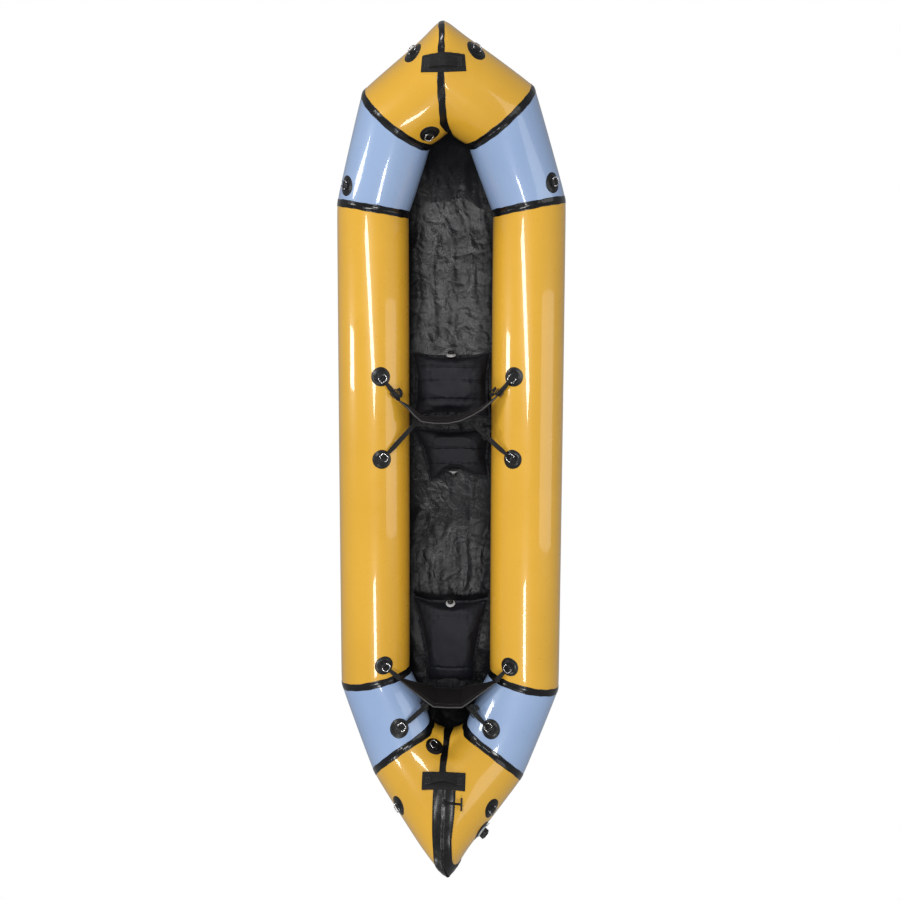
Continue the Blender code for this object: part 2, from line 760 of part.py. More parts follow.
def patch_body(spot, radius):
    """A round patch that follows its tube."""
    number, side, share, angle = spot
    tube = SEGMENTS[number]
    girth = lerp(tube.radii[0], tube.radii[1], share)

    def point(reach, turn, offset):
        along = reach * math.cos(turn) / tube.length
        round_about = math.degrees(reach * math.sin(turn) / girth)
        return hull_place(number, side, share + along, angle + round_about, offset)

    turns = [math.tau * k / PATCH_SIDE_COUNT for k in range(PATCH_SIDE_COUNT)]
    bm = bmesh.new()
    under = PATCH_SEAT
    over = under + PATCH_THICKNESS
    low = bm.verts.new(point(0.0, 0.0, under))
    high = bm.verts.new(point(0.0, 0.0, over))
    rows = []
    for reach, offset in ((radius / 2, under), (radius, under), (radius, over), (radius / 2, over)):
        rows.append([bm.verts.new(point(reach, turn, offset)) for turn in turns])
    for k in range(PATCH_SIDE_COUNT):
        after = (k + 1) % PATCH_SIDE_COUNT
        bm.faces.new((low, rows[0][after], rows[0][k]))
        bm.faces.new((high, rows[3][k], rows[3][after]))
        for below, above in zip(rows, rows[1:]):
            bm.faces.new((below[k], below[after], above[after], above[k]))
    return bm


def ring_seat(spot, heading=None, target=None):
    """The frame of a ring's bar: X along the bar, Y where the ring points, Z off the hull."""
    number, side, share, angle = spot
    height = PATCH_SEAT + PATCH_THICKNESS + RING_STAND + WIRE_RADIUS
    centre, normal, along, down = hull_frame(number, side, share, angle, height)
    if target is None:
        turn = math.radians(heading)
        towards = along * math.cos(turn) + down * math.sin(turn)
    else:
        towards = target - centre
    towards = (towards - normal * towards.dot(normal)).normalized()
    return frame_at(centre, towards.cross(normal), towards)


def keeper_body(seat, clearance):
    """The webbing strip that holds a ring's bar down on its patch."""
    inner = WIRE_RADIUS + clearance
    outer = inner + KEEPER_THICKNESS
    foot_top = -(WIRE_RADIUS + RING_STAND) + KEEPER_THICKNESS / 2
    foot_low = -(WIRE_RADIUS + RING_STAND) - PATCH_THICKNESS * KEEPER_SINK_SHARE
    turns = [math.pi * k / KEEPER_STEP_COUNT for k in range(KEEPER_STEP_COUNT + 1)]
    outline = [(-KEEPER_REACH, foot_low), (-KEEPER_REACH, foot_top), (-outer, foot_top)]
    outline += [(-outer * math.cos(turn), outer * math.sin(turn)) for turn in turns]
    outline += [(outer, foot_top), (KEEPER_REACH, foot_top), (KEEPER_REACH, foot_low), (inner, foot_low)]
    outline += [(inner * math.cos(turn), inner * math.sin(turn)) for turn in turns]
    outline += [(-inner, foot_low)]
    rings = []
    for x in (-KEEPER_WIDTH / 2, KEEPER_WIDTH / 2):
        rings.append([seat @ Vector((x, y, z)) for y, z in outline])
    return loft(rings)


def ring_points():
    """The middle line of a ring in its own plane: a straight bar and a broad bow."""
    half = RING_WIDTH / 2
    points = [Vector((half - RING_CORNER, 0, 0)), Vector((half, RING_CORNER, 0))]
    bow = RING_DEPTH - RING_CORNER
    for k in range(1, RING_STEP_COUNT):
        turn = math.pi * k / RING_STEP_COUNT
        x = math.copysign(abs(math.cos(turn)) ** RING_SQUARE_SHARE, math.cos(turn))
        points.append(Vector((half * x, RING_CORNER + bow * math.sin(turn) ** RING_SQUARE_SHARE, 0)))
    points += [Vector((-half, RING_CORNER, 0)), Vector((RING_CORNER - half, 0, 0))]
    return points


def ring_body(seat, tilt):
    """A ring turned up about its bar by its tilt."""
    place_ring = seat @ Matrix.Rotation(math.radians(tilt), 4, "X")
    normal = place_ring.to_3x3() @ Z_AXIS
    return wire_ring([place_ring @ point for point in ring_points()], WIRE_RADIUS, normal)


def free_ring(name, number, side, share, angle, heading):
    """A lashing patch with its keeper, and the ring that swings in it."""
    spot = (number, side, share, angle)
    seat = ring_seat(spot, heading=heading)
    patch = union([patch_body(spot, PATCH_RADIUS), keeper_body(seat, RING_CLEARANCE)])
    add_piece(name + "_patch", patch, PATCH_BLACK)
    add_piece(name + "_ring", ring_body(seat, FREE_RING_TILT), RING_STEEL, pivot=seat.translation)
    report_axis(name + "_ring", seat.translation, seat.to_3x3() @ X_AXIS)


def report_axis(name, point, axis):
    """Prints a joint's place and axis for whoever sets up its motion."""
    print("axis", name, [round(value, 6) for value in point], [round(value, 6) for value in axis])


def held_ring(name, spot, target):
    """A lashing patch, its keeper and a ring that a strap pulls towards its target."""
    seat = ring_seat(spot, target=target)
    local = seat.inverted() @ target
    tilt = max(math.degrees(math.atan2(local.z, local.y)), HELD_RING_TILT)
    patch = patch_body(spot, PATCH_RADIUS)
    keeper = keeper_body(seat, -RING_CLEARANCE)
    add_piece(name + "_lashing", union([patch, keeper, ring_body(seat, tilt)]), PATCH_BLACK)
    tip = seat @ (Matrix.Rotation(math.radians(tilt), 4, "X") @ Vector((0, RING_DEPTH, 0)))
    return tip, seat.to_3x3() @ X_AXIS


def strap(name, spot, target, face, lashing):
    """A webbing strap folded round a held ring and stretched to the backrest at its target."""
    tip, bar = held_ring(lashing, spot, target)
    along = (target - tip).normalized()
    over = bar.cross(along).normalized()
    if over.z < 0:
        over = -over
    eye = WIRE_RADIUS + STRAP_EYE_CLEARANCE + STRAP_THICKNESS / 2
    ply = (STRAP_THICKNESS + STRAP_PLY_GAP) / 2
    path = [tip + along * STRAP_FOLD - over * ply, tip + along * eye * STRAP_NECK_SHARE - over * ply]
    for angle in FOLD_ANGLES:
        turn = math.radians(angle)
        path.append(tip + along * eye * math.cos(turn) + over * eye * math.sin(turn))
    path.append(tip + along * eye * STRAP_NECK_SHARE + over * ply)
    path.append(tip + along * STRAP_FOLD + over * ply)
    fold_count = len(path)
    rest = (target - path[-1]).length
    for share in STRAP_STEP_SHARES:
        path.append(lerp(path[fold_count - 1], target, share))
    widths = [STRAP_WIDTH] + [STRAP_NECK_WIDTH] * (fold_count - 2)
    widths += [STRAP_WIDTH] * (1 + len(STRAP_STEP_SHARES))
    sides = [bar] * fold_count
    across = Z_AXIS if bar.z > 0 else -Z_AXIS
    for share in STRAP_STEP_SHARES:
        sides.append(bar.lerp(across, share if rest > STRAP_WIDTH else 1))
    add_piece(name, ribbon(path, widths, sides, STRAP_THICKNESS, face), WEB_BLACK)


# Where the lower straps meet each backrest, as shares of its half width
FRONT_LOWER_STRAPS = {PORT: -0.61, STARBOARD: 0.38}
REAR_LOWER_STRAPS = {PORT: -0.38, STARBOARD: 0.38}

# Seen from above, each backrest runs through these shares of its half width and of its depth
FRONT_BAND_SHARES = ((-1.0, 0.80), (-0.84, 0.58), (-0.68, 0.26), (-0.54, 0.06), (-0.28, 0.0), (0.0, 0.0),
                     (0.26, 0.10), (0.50, 0.30), (0.70, 0.52), (0.86, 0.76), (1.0, 1.0))
REAR_BAND_SHARES = ((-1.0, 1.0), (-0.82, 0.74), (-0.62, 0.46), (-0.44, 0.20), (-0.30, 0.02), (0.0, 0.0),
                    (0.30, 0.02), (0.44, 0.20), (0.62, 0.46), (0.82, 0.74), (1.0, 1.0))


def band_line(shares, y):
    """The middle of a backrest seen from above."""
    return [Vector((across * BAND_HALF_WIDTH, y + deep * BAND_DEPTH, 0)) for across, deep in shares]


def band_heights(across):
    """The lower and upper edge of a backrest at a share of its half width."""
    rise = max((abs(across) - BAND_LEVEL_SHARE) / (1 - BAND_LEVEL_SHARE), 0) ** BAND_RISE_SHARE
    low = lerp(BAND_BOTTOM, BAND_TOP - BAND_END_HEIGHT, rise)
    return low, BAND_TOP


def backrest(name, shares, y):
    """A padded band on edge, tapering to its strap ends."""
    line = band_line(shares, y)
    rings = []
    for k, point in enumerate(line):
        before = line[max(k - 1, 0)]
        after = line[min(k + 1, len(line) - 1)]
        along = (after - before).normalized()
        across = along.cross(Z_AXIS)
        low, high = band_heights(shares[k][0])
        end_share = abs(shares[k][0]) ** BAND_TAPER_SHARE
        half = lerp(BAND_THICKNESS, BAND_END_THICKNESS, end_share) / 2
        edge = half * BAND_EDGE_SHARE
        shoulder = min(half, (high - low) * BAND_SHOULDER_SHARE)
        outline = [(-edge, low), (edge, low), (half, low + shoulder), (half, high - shoulder),
                   (edge, high), (-edge, high), (-half, high - shoulder), (-half, low + shoulder)]
        rings.append([point + across * reach + Z_AXIS * height for reach, height in outline])
    pivot = Vector((0, y, BAND_BOTTOM))
    add_piece(name, loft(rings), BAND_BLACK, pivot=pivot)
    report_axis(name, pivot, X_AXIS)


def band_end(shares, y, side):
    """Where a strap meets the end of a backrest, and the level direction in that end."""
    line = band_line(shares, y)
    tip = line[0] if side == PORT else line[-1]
    inner = line[1] if side == PORT else line[-2]
    low, high = band_heights(1)
    along = (tip - inner).normalized()
    return tip + along * STRAP_END_GAP + Z_AXIS * (low + high) / 2, along.cross(Z_AXIS)


def band_back(shares, y, across_share, height):
    """Where a strap meets the stern face of a backrest, and the level direction along it."""
    line = band_line(shares, y)
    for (low, _), (high, _), first, last in zip(shares, shares[1:], line, line[1:]):
        if low <= across_share <= high:
            point = first.lerp(last, (across_share - low) / (high - low))
            along = (last - first).normalized()
            break
    half = lerp(BAND_THICKNESS, BAND_END_THICKNESS, abs(across_share) ** BAND_TAPER_SHARE) / 2
    return point + along.cross(Z_AXIS) * (half + STRAP_END_GAP) + Z_AXIS * height, along


def cushion_fullness(u, v):
    """How full a cushion is at a place from -1 to 1 across and along it."""
    side_power, end_power = CROWN_SHARES
    return math.sqrt(max((1 - abs(u) ** side_power) * (1 - abs(v) ** end_power), 0))


def cushion(name, corners, thickness, channels, notch=0.0):
    """An inflated cushion with a crown, drawn-in sides and welded channels across it.

    The corners go bow port, bow starboard, stern starboard, stern port, seen from above.
    """
    bm = bmesh.new()
    columns = CUSHION_COLUMN_COUNT
    rows = CUSHION_ROW_COUNT
    bow_port, bow_starboard, stern_starboard, stern_port = corners

    def plan(u, v):
        across = (u + 1) / 2
        along = (v + 1) / 2
        stern = stern_port.lerp(stern_starboard, across)
        bow = bow_port.lerp(bow_starboard, across)
        point = stern.lerp(bow, along)
        point.x -= math.copysign(SIDE_DRAW * (1 - v * v) * abs(u) ** DRAW_SHARE, u)
        point.y -= math.copysign(END_DRAW * (1 - u * u) * abs(v) ** DRAW_SHARE, v)
        point.y += notch * max(1 - abs(u - NOTCH_PLACE) / NOTCH_REACH, 0.0) * max(-v, 0.0) ** 2
        return point

    def channel_depth(v):
        depth = 0.0
        for centre, width_share in channels:
            depth += CHANNEL_DEPTH * math.exp(-((v - centre) / width_share) ** 2)
        return depth

    seam_height = floor_top(SEAT_HALF_WIDTH) + thickness * SEAM_SHARE

    def top(u, v):
        point = plan(u, v)
        crown = thickness * (1 - SEAM_SHARE) - channel_depth(v)
        return point + Z_AXIS * (seam_height + CUSHION_SEAM / 2 + cushion_fullness(u, v) * crown)

    def bottom(u, v):
        point = plan(u, v)
        floor = floor_top(point.x) + CUSHION_LIFT
        return point + Z_AXIS * lerp(seam_height - CUSHION_SEAM / 2, floor, cushion_fullness(u, v))

    across_steps = [math.sin(math.pi / 2 * (2 * i / columns - 1)) for i in range(columns + 1)]
    along_steps = [math.sin(math.pi / 2 * (2 * j / rows - 1)) for j in range(rows + 1)]
    grid = {}
    for layer, face_point in enumerate((bottom, top)):
        for i, u in enumerate(across_steps):
            for j, v in enumerate(along_steps):
                grid[layer, i, j] = bm.verts.new(face_point(u, v))
        for i in range(columns):
            for j in range(rows):
                bm.faces.new((grid[layer, i, j], grid[layer, i + 1, j],
                              grid[layer, i + 1, j + 1], grid[layer, i, j + 1]))
    rim = [(i, 0) for i in range(columns)] + [(columns, j) for j in range(rows)]
    rim += [(columns - i, rows) for i in range(columns)] + [(0, rows - j) for j in range(rows)]
    for first, last in zip(rim, rim[1:] + rim[:1]):
        bm.faces.new((grid[0, *first], grid[0, *last], grid[1, *last], grid[1, *first]))
    add_piece(name, bm, CUSHION_BLACK)
    return top


def seat_valve(name, top, u, v, seat_gap=GAP, facing=None):
    """A twist valve on a cushion's end face, square to it or facing a given way: flange, stem and grip."""
    step = 1.0 / SURFACE_STEP_COUNT
    spot = top(u, v)
    normal = facing or (top(u + step, v) - spot).cross(top(u, v + step) - spot).normalized()
    steps = [k * step * VALVE_STEP_COUNT for k in range(-VALVE_STEP_COUNT, VALVE_STEP_COUNT + 1)]
    near = [top(u + across, v + along) for across in steps for along in steps]
    lift = max((point - spot).dot(normal) for point in near if (point - spot).length < SEAT_FLANGE_RADIUS)
    centre = spot + normal * (lift + seat_gap)
    seat = frame_at(centre, X_AXIS - normal * normal.x, normal.cross(X_AXIS))
    stem = SEAT_FLANGE_THICKNESS + SEAT_STEM_LENGTH
    cap = stem + SEAT_CAP_LENGTH
    profile = [(0.0, 0.0), (SEAT_FLANGE_RADIUS - VALVE_EDGE, 0.0), (SEAT_FLANGE_RADIUS, VALVE_EDGE),
               (SEAT_FLANGE_RADIUS, SEAT_FLANGE_THICKNESS),
               (SEAT_STEM_RADIUS, SEAT_FLANGE_THICKNESS + VALVE_EDGE), (SEAT_STEM_RADIUS, stem),
               (SEAT_CAP_RADIUS, stem), (SEAT_CAP_RADIUS, cap - VALVE_EDGE),
               (SEAT_CAP_RADIUS - VALVE_EDGE, cap), (0.0, cap)]
    add_piece(name, turned(profile, seat), VALVE_GREY, pivot=centre)
    report_axis(name, centre, normal)


HANDLE_COLUMN_SHARES = (-1.0, -0.72, -0.45, -0.2, 0.0, 0.2, 0.45, 0.72, 1.0)
HANDLE_ROW_SHARES = (-1.0, -0.5, 0.0, 0.5, 1.0)


def draped(rows, columns, point, offsets):
    """A layer over the hull through a grid of rows and columns, between two offsets."""
    bm = bmesh.new()
    grid = {}
    for layer, offset in enumerate(offsets):
        for i, row in enumerate(rows):
            for j, column in enumerate(columns):
                grid[layer, i, j] = bm.verts.new(point(row, column, offset))
        for i in range(len(rows) - 1):
            for j in range(len(columns) - 1):
                bm.faces.new((grid[layer, i, j], grid[layer, i + 1, j],
                              grid[layer, i + 1, j + 1], grid[layer, i, j + 1]))
    last_row = len(rows) - 1
    last_column = len(columns) - 1
    rim = [(i, 0) for i in range(last_row)] + [(last_row, j) for j in range(last_column)]
    rim += [(last_row - i, last_column) for i in range(last_row)]
    rim += [(0, last_column - j) for j in range(last_column)]
    for first, last in zip(rim, rim[1:] + rim[:1]):
        bm.faces.new((grid[0, *first], grid[0, *last], grid[1, *last], grid[1, *first]))
    return bm


def handle(name, seam, angle, patch_width):
    """A webbing handle sewn to a patch that lies across an end's middle seam."""
    low = TAPE_SEAT + TAPE_THICKNESS + HANDLE_LIFT
    high = low + PATCH_THICKNESS
    half_turn = seam.girth(patch_width, angle) / 2
    rows = [angle + half_turn * share for share in HANDLE_ROW_SHARES]
    columns = [HANDLE_PATCH_LENGTH / 2 * share for share in HANDLE_COLUMN_SHARES]

    def point(row, column, offset):
        return place(seam.spot(row, column, offset))

    patch = draped(rows, columns, point, (low, high))
    half = HANDLE_WEB_LENGTH / 2
    arch_half = half - HANDLE_FOOT
    foot = high + HANDLE_WEB_THICKNESS / 4
    stops = [-half, -arch_half - HANDLE_FOOT / 2]
    stops += [arch_half * (2 * k / HANDLE_STEP_COUNT - 1) for k in range(HANDLE_STEP_COUNT + 1)]
    stops += [arch_half + HANDLE_FOOT / 2, half]
    seat = placed(seam.ridge_frame(angle, foot))
    up = seat.to_3x3() @ Z_AXIS
    flank = seat.to_3x3() @ Y_AXIS
    web = []
    for stop in stops:
        share = min(abs(stop) / arch_half, 1.0)
        arch = HANDLE_ARCH * math.sqrt(max(1 - share ** 2, 0.0))
        web.append(point(angle, stop, foot) + up * arch)
    webbing = ribbon(web, [HANDLE_WEB_WIDTH] * len(web), [flank] * len(web), HANDLE_WEB_THICKNESS)
    add_piece(name, union([patch, webbing]), WEB_BLACK)
    report_axis(name, seat.translation, up)


def zip_strip(name):
    """The zip's broad tape with its closed chain as a rib along the middle."""
    half = ZIP_WIDTH / 2
    chain = CHAIN_WIDTH / 2
    columns = ((-half, 0.0), (-half / 2, 0.0), (-chain, 0.0), (-chain / 2, CHAIN_HEIGHT), (0.0, CHAIN_HEIGHT),
               (chain / 2, CHAIN_HEIGHT), (chain, 0.0), (half / 2, 0.0), (half, 0.0))

    def point(row, column, offset):
        across, rise = column
        top = rise if offset > ZIP_OFFSET else 0.0
        return place(STERN_SEAM.spot(row, across, offset + top))

    add_piece(name, draped(zip_angles(), columns, point, (ZIP_OFFSET, ZIP_TOP)), ZIP_BLACK)


def slider_track():
    """The centre of the circle that follows the stern's middle seam behind the handle."""
    seam = STERN_SEAM
    flattest = (seam.radius / seam.away.x) ** 2 / seam.radius
    return place(seam.joint + seam.smooth * (seam.radius - flattest))


def zip_slider(name):
    """The slider over the chain, with the bridge that holds its pull."""
    seat = placed(STERN_SEAM.ridge_frame(SLIDER_ANGLE, CHAIN_TOP + SLIDER_CLEARANCE))
    half = Vector((SLIDER_WIDTH, SLIDER_LENGTH, 0)) / 2
    body = box_between(-half, half + Z_AXIS * SLIDER_HEIGHT, seat)
    bmesh.ops.bevel(body, geom=body.edges[:], offset=BRIDGE_SIZE / 2, segments=2, affect="EDGES",
                    profile=BEVEL_SHARE)
    size = BRIDGE_SIZE / 2
    reach = BRIDGE_LENGTH / 2
    low = SLIDER_HEIGHT - BRIDGE_SIZE
    high = SLIDER_HEIGHT + BRIDGE_RISE
    pieces = [body]
    for end in (-1, 1):
        middle = end * (reach - size)
        pieces.append(box_between(Vector((-size, middle - size, low)), Vector((size, middle + size, high)),
                                  seat))
    pieces.append(box_between(Vector((-size, -reach, high - BRIDGE_SIZE)), Vector((size, reach, high)), seat))
    centre = slider_track()
    add_piece(name, union(pieces), ZIP_BLACK, pivot=centre)
    report_axis(name, centre, X_AXIS)
    return seat @ Matrix.Translation(Z_AXIS * (high - BRIDGE_SIZE / 2))


def zip_pull(name, hinge):
    """The T-shaped pull that hangs from the slider's bridge to starboard."""
    eye = []
    for reach in (PULL_EYE_INNER, PULL_EYE_OUTER):
        turns = [math.tau * (k + HALF) / WIRE_SIDE_COUNT / 2 for k in range(WIRE_SIDE_COUNT * 2)]
        eye.append([(reach * math.cos(turn), reach * math.sin(turn)) for turn in turns])
    side = seat_side(hinge)
    swing = hinge @ Matrix.Rotation(math.radians(PULL_TILT) * side, 4, "Y")
    loops = []
    for outline, y in ((eye[0], -1), (eye[1], -1), (eye[1], 1), (eye[0], 1)):
        loops.append([swing @ Vector((x, y * PULL_EYE_WIDTH / 2, z)) for x, z in outline])
    ring = loft(loops, close=True)
    start = (PULL_EYE_INNER + PULL_EYE_OUTER) / 2
    half = Vector((0, PULL_WIDTH / 2, PULL_THICKNESS / 2))
    bar_half = Vector((0, PULL_BAR_LENGTH / 2, PULL_THICKNESS / 2))
    ends = sorted((side * start, side * PULL_LENGTH))
    bar_ends = sorted((side * (PULL_LENGTH - PULL_BAR_WIDTH), side * PULL_LENGTH))
    shank = box_between(X_AXIS * ends[0] - half, X_AXIS * ends[1] + half, swing)
    bar_half *= GRIP_SHARE
    grip = box_between(X_AXIS * bar_ends[0] - bar_half, X_AXIS * bar_ends[1] + bar_half, swing)
    add_piece(name, union([shank, grip, ring]), ZIP_BLACK, pivot=hinge.translation)
    report_axis(name, hinge.translation, hinge.to_3x3() @ Y_AXIS)


def seat_side(frame):
    """Whether a frame's X axis points to starboard or to port."""
    return STARBOARD if (frame.to_3x3() @ X_AXIS).x > 0 else PORT


def inflation_valve(name, cap_name):
    """The valve's patch, flange, boss and the cap's tether, and the cap that screws on the boss."""
    spot = (STERN_END, STARBOARD, VALVE_SHARE, VALVE_ANGLE)
    top = PATCH_SEAT + PATCH_THICKNESS
    centre, normal, along, down = hull_frame(*spot, top)
    seat = frame_at(centre, along, down)
    if (seat.to_3x3() @ Z_AXIS).dot(normal) < 0:
        seat = frame_at(centre, along, -down)
    patch = patch_body(spot, VALVE_PATCH_RADIUS)
    boss_top = VALVE_FLANGE_THICKNESS + VALVE_BOSS_HEIGHT
    base = [(0.0, -PATCH_THICKNESS / 2), (VALVE_FLANGE_RADIUS, -PATCH_THICKNESS / 2),
            (VALVE_FLANGE_RADIUS, VALVE_FLANGE_THICKNESS - VALVE_EDGE),
            (VALVE_FLANGE_RADIUS - VALVE_EDGE, VALVE_FLANGE_THICKNESS),
            (VALVE_BOSS_RADIUS, VALVE_FLANGE_THICKNESS), (VALVE_BOSS_RADIUS, boss_top), (0.0, boss_top)]
    tether = []
    for k in range(PATCH_SIDE_COUNT):
        turn = math.tau * k / PATCH_SIDE_COUNT
        reach = VALVE_FLANGE_RADIUS + TETHER_RADIUS / 2
        tether.append(seat @ Vector((reach + TETHER_RADIUS * math.cos(turn), TETHER_RADIUS * math.sin(turn),
                                     TETHER_WIRE)))
    loop = wire_ring(tether, TETHER_WIRE, seat.to_3x3() @ Z_AXIS)
    add_piece(name, union([patch, turned(base, seat), loop]), VALVE_GREY)
    inner = VALVE_BOSS_RADIUS + VALVE_CAP_CLEARANCE
    inner_top = boss_top + VALVE_CAP_CLEARANCE
    skirt = boss_top - VALVE_CAP_LAP
    outer = inner + VALVE_CAP_WALL
    cap_top = skirt + VALVE_CAP_HEIGHT
    cap = [(0.0, inner_top), (inner, inner_top), (inner, skirt), (outer, skirt), (outer, cap_top - VALVE_EDGE),
           (outer - VALVE_EDGE, cap_top), (0.0, cap_top)]
    add_piece(cap_name, turned(cap, seat), VALVE_BLACK, pivot=seat.translation)
    report_axis(cap_name, seat.translation, normal)


def hull():
    """The ten tube panels with their seam tapes."""
    finishes = (YELLOW, BLUE, YELLOW, BLUE, YELLOW)
    for side, side_name in ((PORT, "port"), (STARBOARD, "starboard")):
        for number, (segment, finish) in enumerate(zip(SEGMENT_NAMES, finishes)):
            hull_panel(side_name + "_" + segment + "_tube", number, side, finish)
    end_tapes("bow_seam_tapes", (SIDE_SEGMENT, BOW_QUARTER, BOW_END), 1, 1, ())
    low = ZIP_FIRST_ANGLE + STERN_SEAM.smooth_facet_angle
    high = ZIP_LAST_ANGLE + STERN_SEAM.smooth_facet_angle
    under_zip = []
    for facet in range(-HULL_FACET_COUNT, HULL_FACET_COUNT):
        if low <= (facet + HALF) * facet_angle() and (facet + 1 + HALF) * facet_angle() <= high:
            under_zip.append(facet % HULL_FACET_COUNT)
    end_tapes("stern_seam_tapes", (SIDE_SEGMENT, STERN_QUARTER, STERN_END), 0, -1, under_zip)
    floor_sheet("floor_sheet")


def seats():
    """Both seat cushions and the rear paddler's foot brace, with their valves."""
    middle = -MIDDLE.y
    side_stern = middle - SIDE_LENGTH / 2
    front_band = middle + FRONT_BAND_AHEAD
    rear_band = side_stern - REAR_BAND_ASTERN

    def outline(bow, port_stern, starboard_stern, taper_port, taper_starboard):
        half = SEAT_HALF_WIDTH
        starboard_corner = Vector((half - taper_starboard, starboard_stern, 0))
        port_corner = Vector((taper_port - half, port_stern, 0))
        return Vector((-half, bow, 0)), Vector((half, bow, 0)), starboard_corner, port_corner

    stern = front_band + BAND_THICKNESS / 2 + BAND_CLEARANCE
    corners = outline(stern + FRONT_SEAT_LENGTH, stern, stern, 0.0, 0.0)
    top = cushion("front_seat", corners, SEAT_THICKNESS, FRONT_SEAT_CHANNELS)
    seat_valve("front_seat_valve", top, 0.0, SEAT_VALVE_PLACE)
    bow = front_band - BRACE_GAP
    corners = outline(bow, bow - BRACE_PORT_LENGTH, bow - BRACE_STARBOARD_LENGTH, BRACE_TAPER, 0.0)
    top = cushion("foot_brace", corners, BRACE_THICKNESS, BRACE_CHANNELS, BRACE_NOTCH)
    seat_valve("foot_brace_valve", top, NOTCH_PLACE, -SEAT_VALVE_PLACE, BRACE_VALVE_GAP, -Y_AXIS)
    stern = rear_band + REAR_SEAT_GAP
    corners = outline(stern + REAR_SEAT_LENGTH, stern, stern, REAR_SEAT_TAPER, REAR_SEAT_TAPER)
    top = cushion("rear_seat", corners, SEAT_THICKNESS, REAR_SEAT_CHANNELS)
    seat_valve("rear_seat_valve", top, 0.0, SEAT_VALVE_PLACE, -REAR_VALVE_SINK)


def backrests():
    """Both backrests and the straps that tie them to the held rings."""
    middle = -MIDDLE.y
    front_y = middle + FRONT_BAND_AHEAD
    rear_y = middle - SIDE_LENGTH / 2 - REAR_BAND_ASTERN
    bands = (("front", FRONT_BAND_SHARES, front_y, FRONT_LOWER_STRAPS, FRONT_LOWER_HEIGHT),
             ("rear", REAR_BAND_SHARES, rear_y, REAR_LOWER_STRAPS, REAR_LOWER_HEIGHT))
    for row, shares, y, lower_straps, lower_height in bands:
        backrest(row + "_backrest", shares, y)
        for side, side_name in ((PORT, "port"), (STARBOARD, "starboard")):
            name = "_".join((row, "upper", side_name))
            target, face = band_end(shares, y, side)
            strap(name + "_strap", HELD_RING_SHARES[name], target, face, name)
            name = "_".join((row, "lower", side_name))
            target, face = band_back(shares, y, lower_straps[side], lower_height)
            strap(name + "_strap", HELD_RING_SHARES[name], target, face, name)


def fittings():
    """The free lashing rings, both handles, the zip and the inflation valve."""
    for name, values in FREE_RING_SHARES.items():
        free_ring(name, *values)
    handle("bow_handle", BOW_SEAM, BOW_HANDLE_ANGLE, BOW_PATCH_WIDTH)
    handle("stern_handle", STERN_SEAM, STERN_HANDLE_ANGLE, STERN_PATCH_WIDTH)
    zip_strip("zip_strip")
    hinge = zip_slider("zip_slider")
    zip_pull("zip_pull", hinge)
    inflation_valve("inflation_valve", "valve_cap")


print("middle", list(MIDDLE))
hull()
seats()
backrests()
fittings()
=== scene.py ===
"""The packraft's look: inflated hull, seam tapes, floor, cushions, backrests, webbing, rings, zip and valves.

Lengths are in metres and angles in degrees. The frame is the part's own: bow along +Y, starboard along +X,
and the ground under the hull at z = 0.
"""
import math

import bmesh
import bpy
import numpy as np
from mathutils import Matrix, Vector, noise


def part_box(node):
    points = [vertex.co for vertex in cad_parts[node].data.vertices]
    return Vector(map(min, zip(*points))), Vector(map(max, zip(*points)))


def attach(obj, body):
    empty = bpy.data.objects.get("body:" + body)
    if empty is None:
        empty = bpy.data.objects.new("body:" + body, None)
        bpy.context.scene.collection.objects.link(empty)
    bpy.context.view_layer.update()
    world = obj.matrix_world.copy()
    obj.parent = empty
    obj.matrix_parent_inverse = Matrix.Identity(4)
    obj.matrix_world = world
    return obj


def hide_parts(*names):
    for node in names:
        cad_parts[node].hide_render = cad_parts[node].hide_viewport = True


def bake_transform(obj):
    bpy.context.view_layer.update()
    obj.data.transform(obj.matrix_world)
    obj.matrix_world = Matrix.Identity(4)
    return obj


# Hull: the joints of the starboard half's centre line, stern to bow, and the tube's radius at each
JOINTS = ((0.0, -1.32649, 0.35233), (0.167, -1.19049, 0.19133), (0.305, -0.89849, 0.13933),
          (0.305, 0.98551, 0.13933), (0.19, 1.27851, 0.27333), (0.0, 1.37051, 0.37833))
RADII = (0.155, 0.155, 0.14, 0.14, 0.146, 0.146)
SEGMENT_NAMES = ("stern_end", "stern_quarter", "side", "bow_quarter", "bow_end")
SEGMENT_SLOTS = ("shell_yellow", "shell_blue", "shell_yellow", "shell_blue", "shell_yellow")
STERN_END, STERN_QUARTER, SIDE, BOW_QUARTER, BOW_END = range(5)
STARBOARD = 1
PORT = -1
SIDES = {"starboard": STARBOARD, "port": PORT}
GIRTH_COUNT = 144
LENGTH_COUNTS = (72, 72, 200, 72, 72)
PORT_TURN = 7.0
SWELL = (0.002, 0.001, 0.001, 0.001, 0.002)

# Where the end tubes meet: rounding outside and inside, fullness of the nose and how far it reaches, and how
# far the tips lean to starboard, from one distance along the hull to another
TIP_ROUNDING = {STERN_END: 0.017, BOW_END: 0.018}
CORNER_FILL = {STERN_END: 0.038, BOW_END: 0.004}
NOSE = {STERN_END: (0.008, 0.05), BOW_END: (0.014, 0.055)}
TIP_LEANS = ((1, -0.008, 1.44, 0.09), (-1, 0.015, 1.42, 0.1))

# Cloth gathered by the seams: how far it is drawn in, how far that reaches, and the puckers beside it
DRAW_IN = 0.0016
DRAW_REACH = 0.02
PUCKER = 0.0011
PUCKER_REACH = 0.03

# The inner lashing patches lie on the unshaped tubes: share of the middle line and angle
FLAT_SPOTS = {STERN_END: (0.61, -64.0), BOW_END: (0.46, -71.0)}
FLAT_REACH = 0.052
FLAT_DEPTH = 0.0016

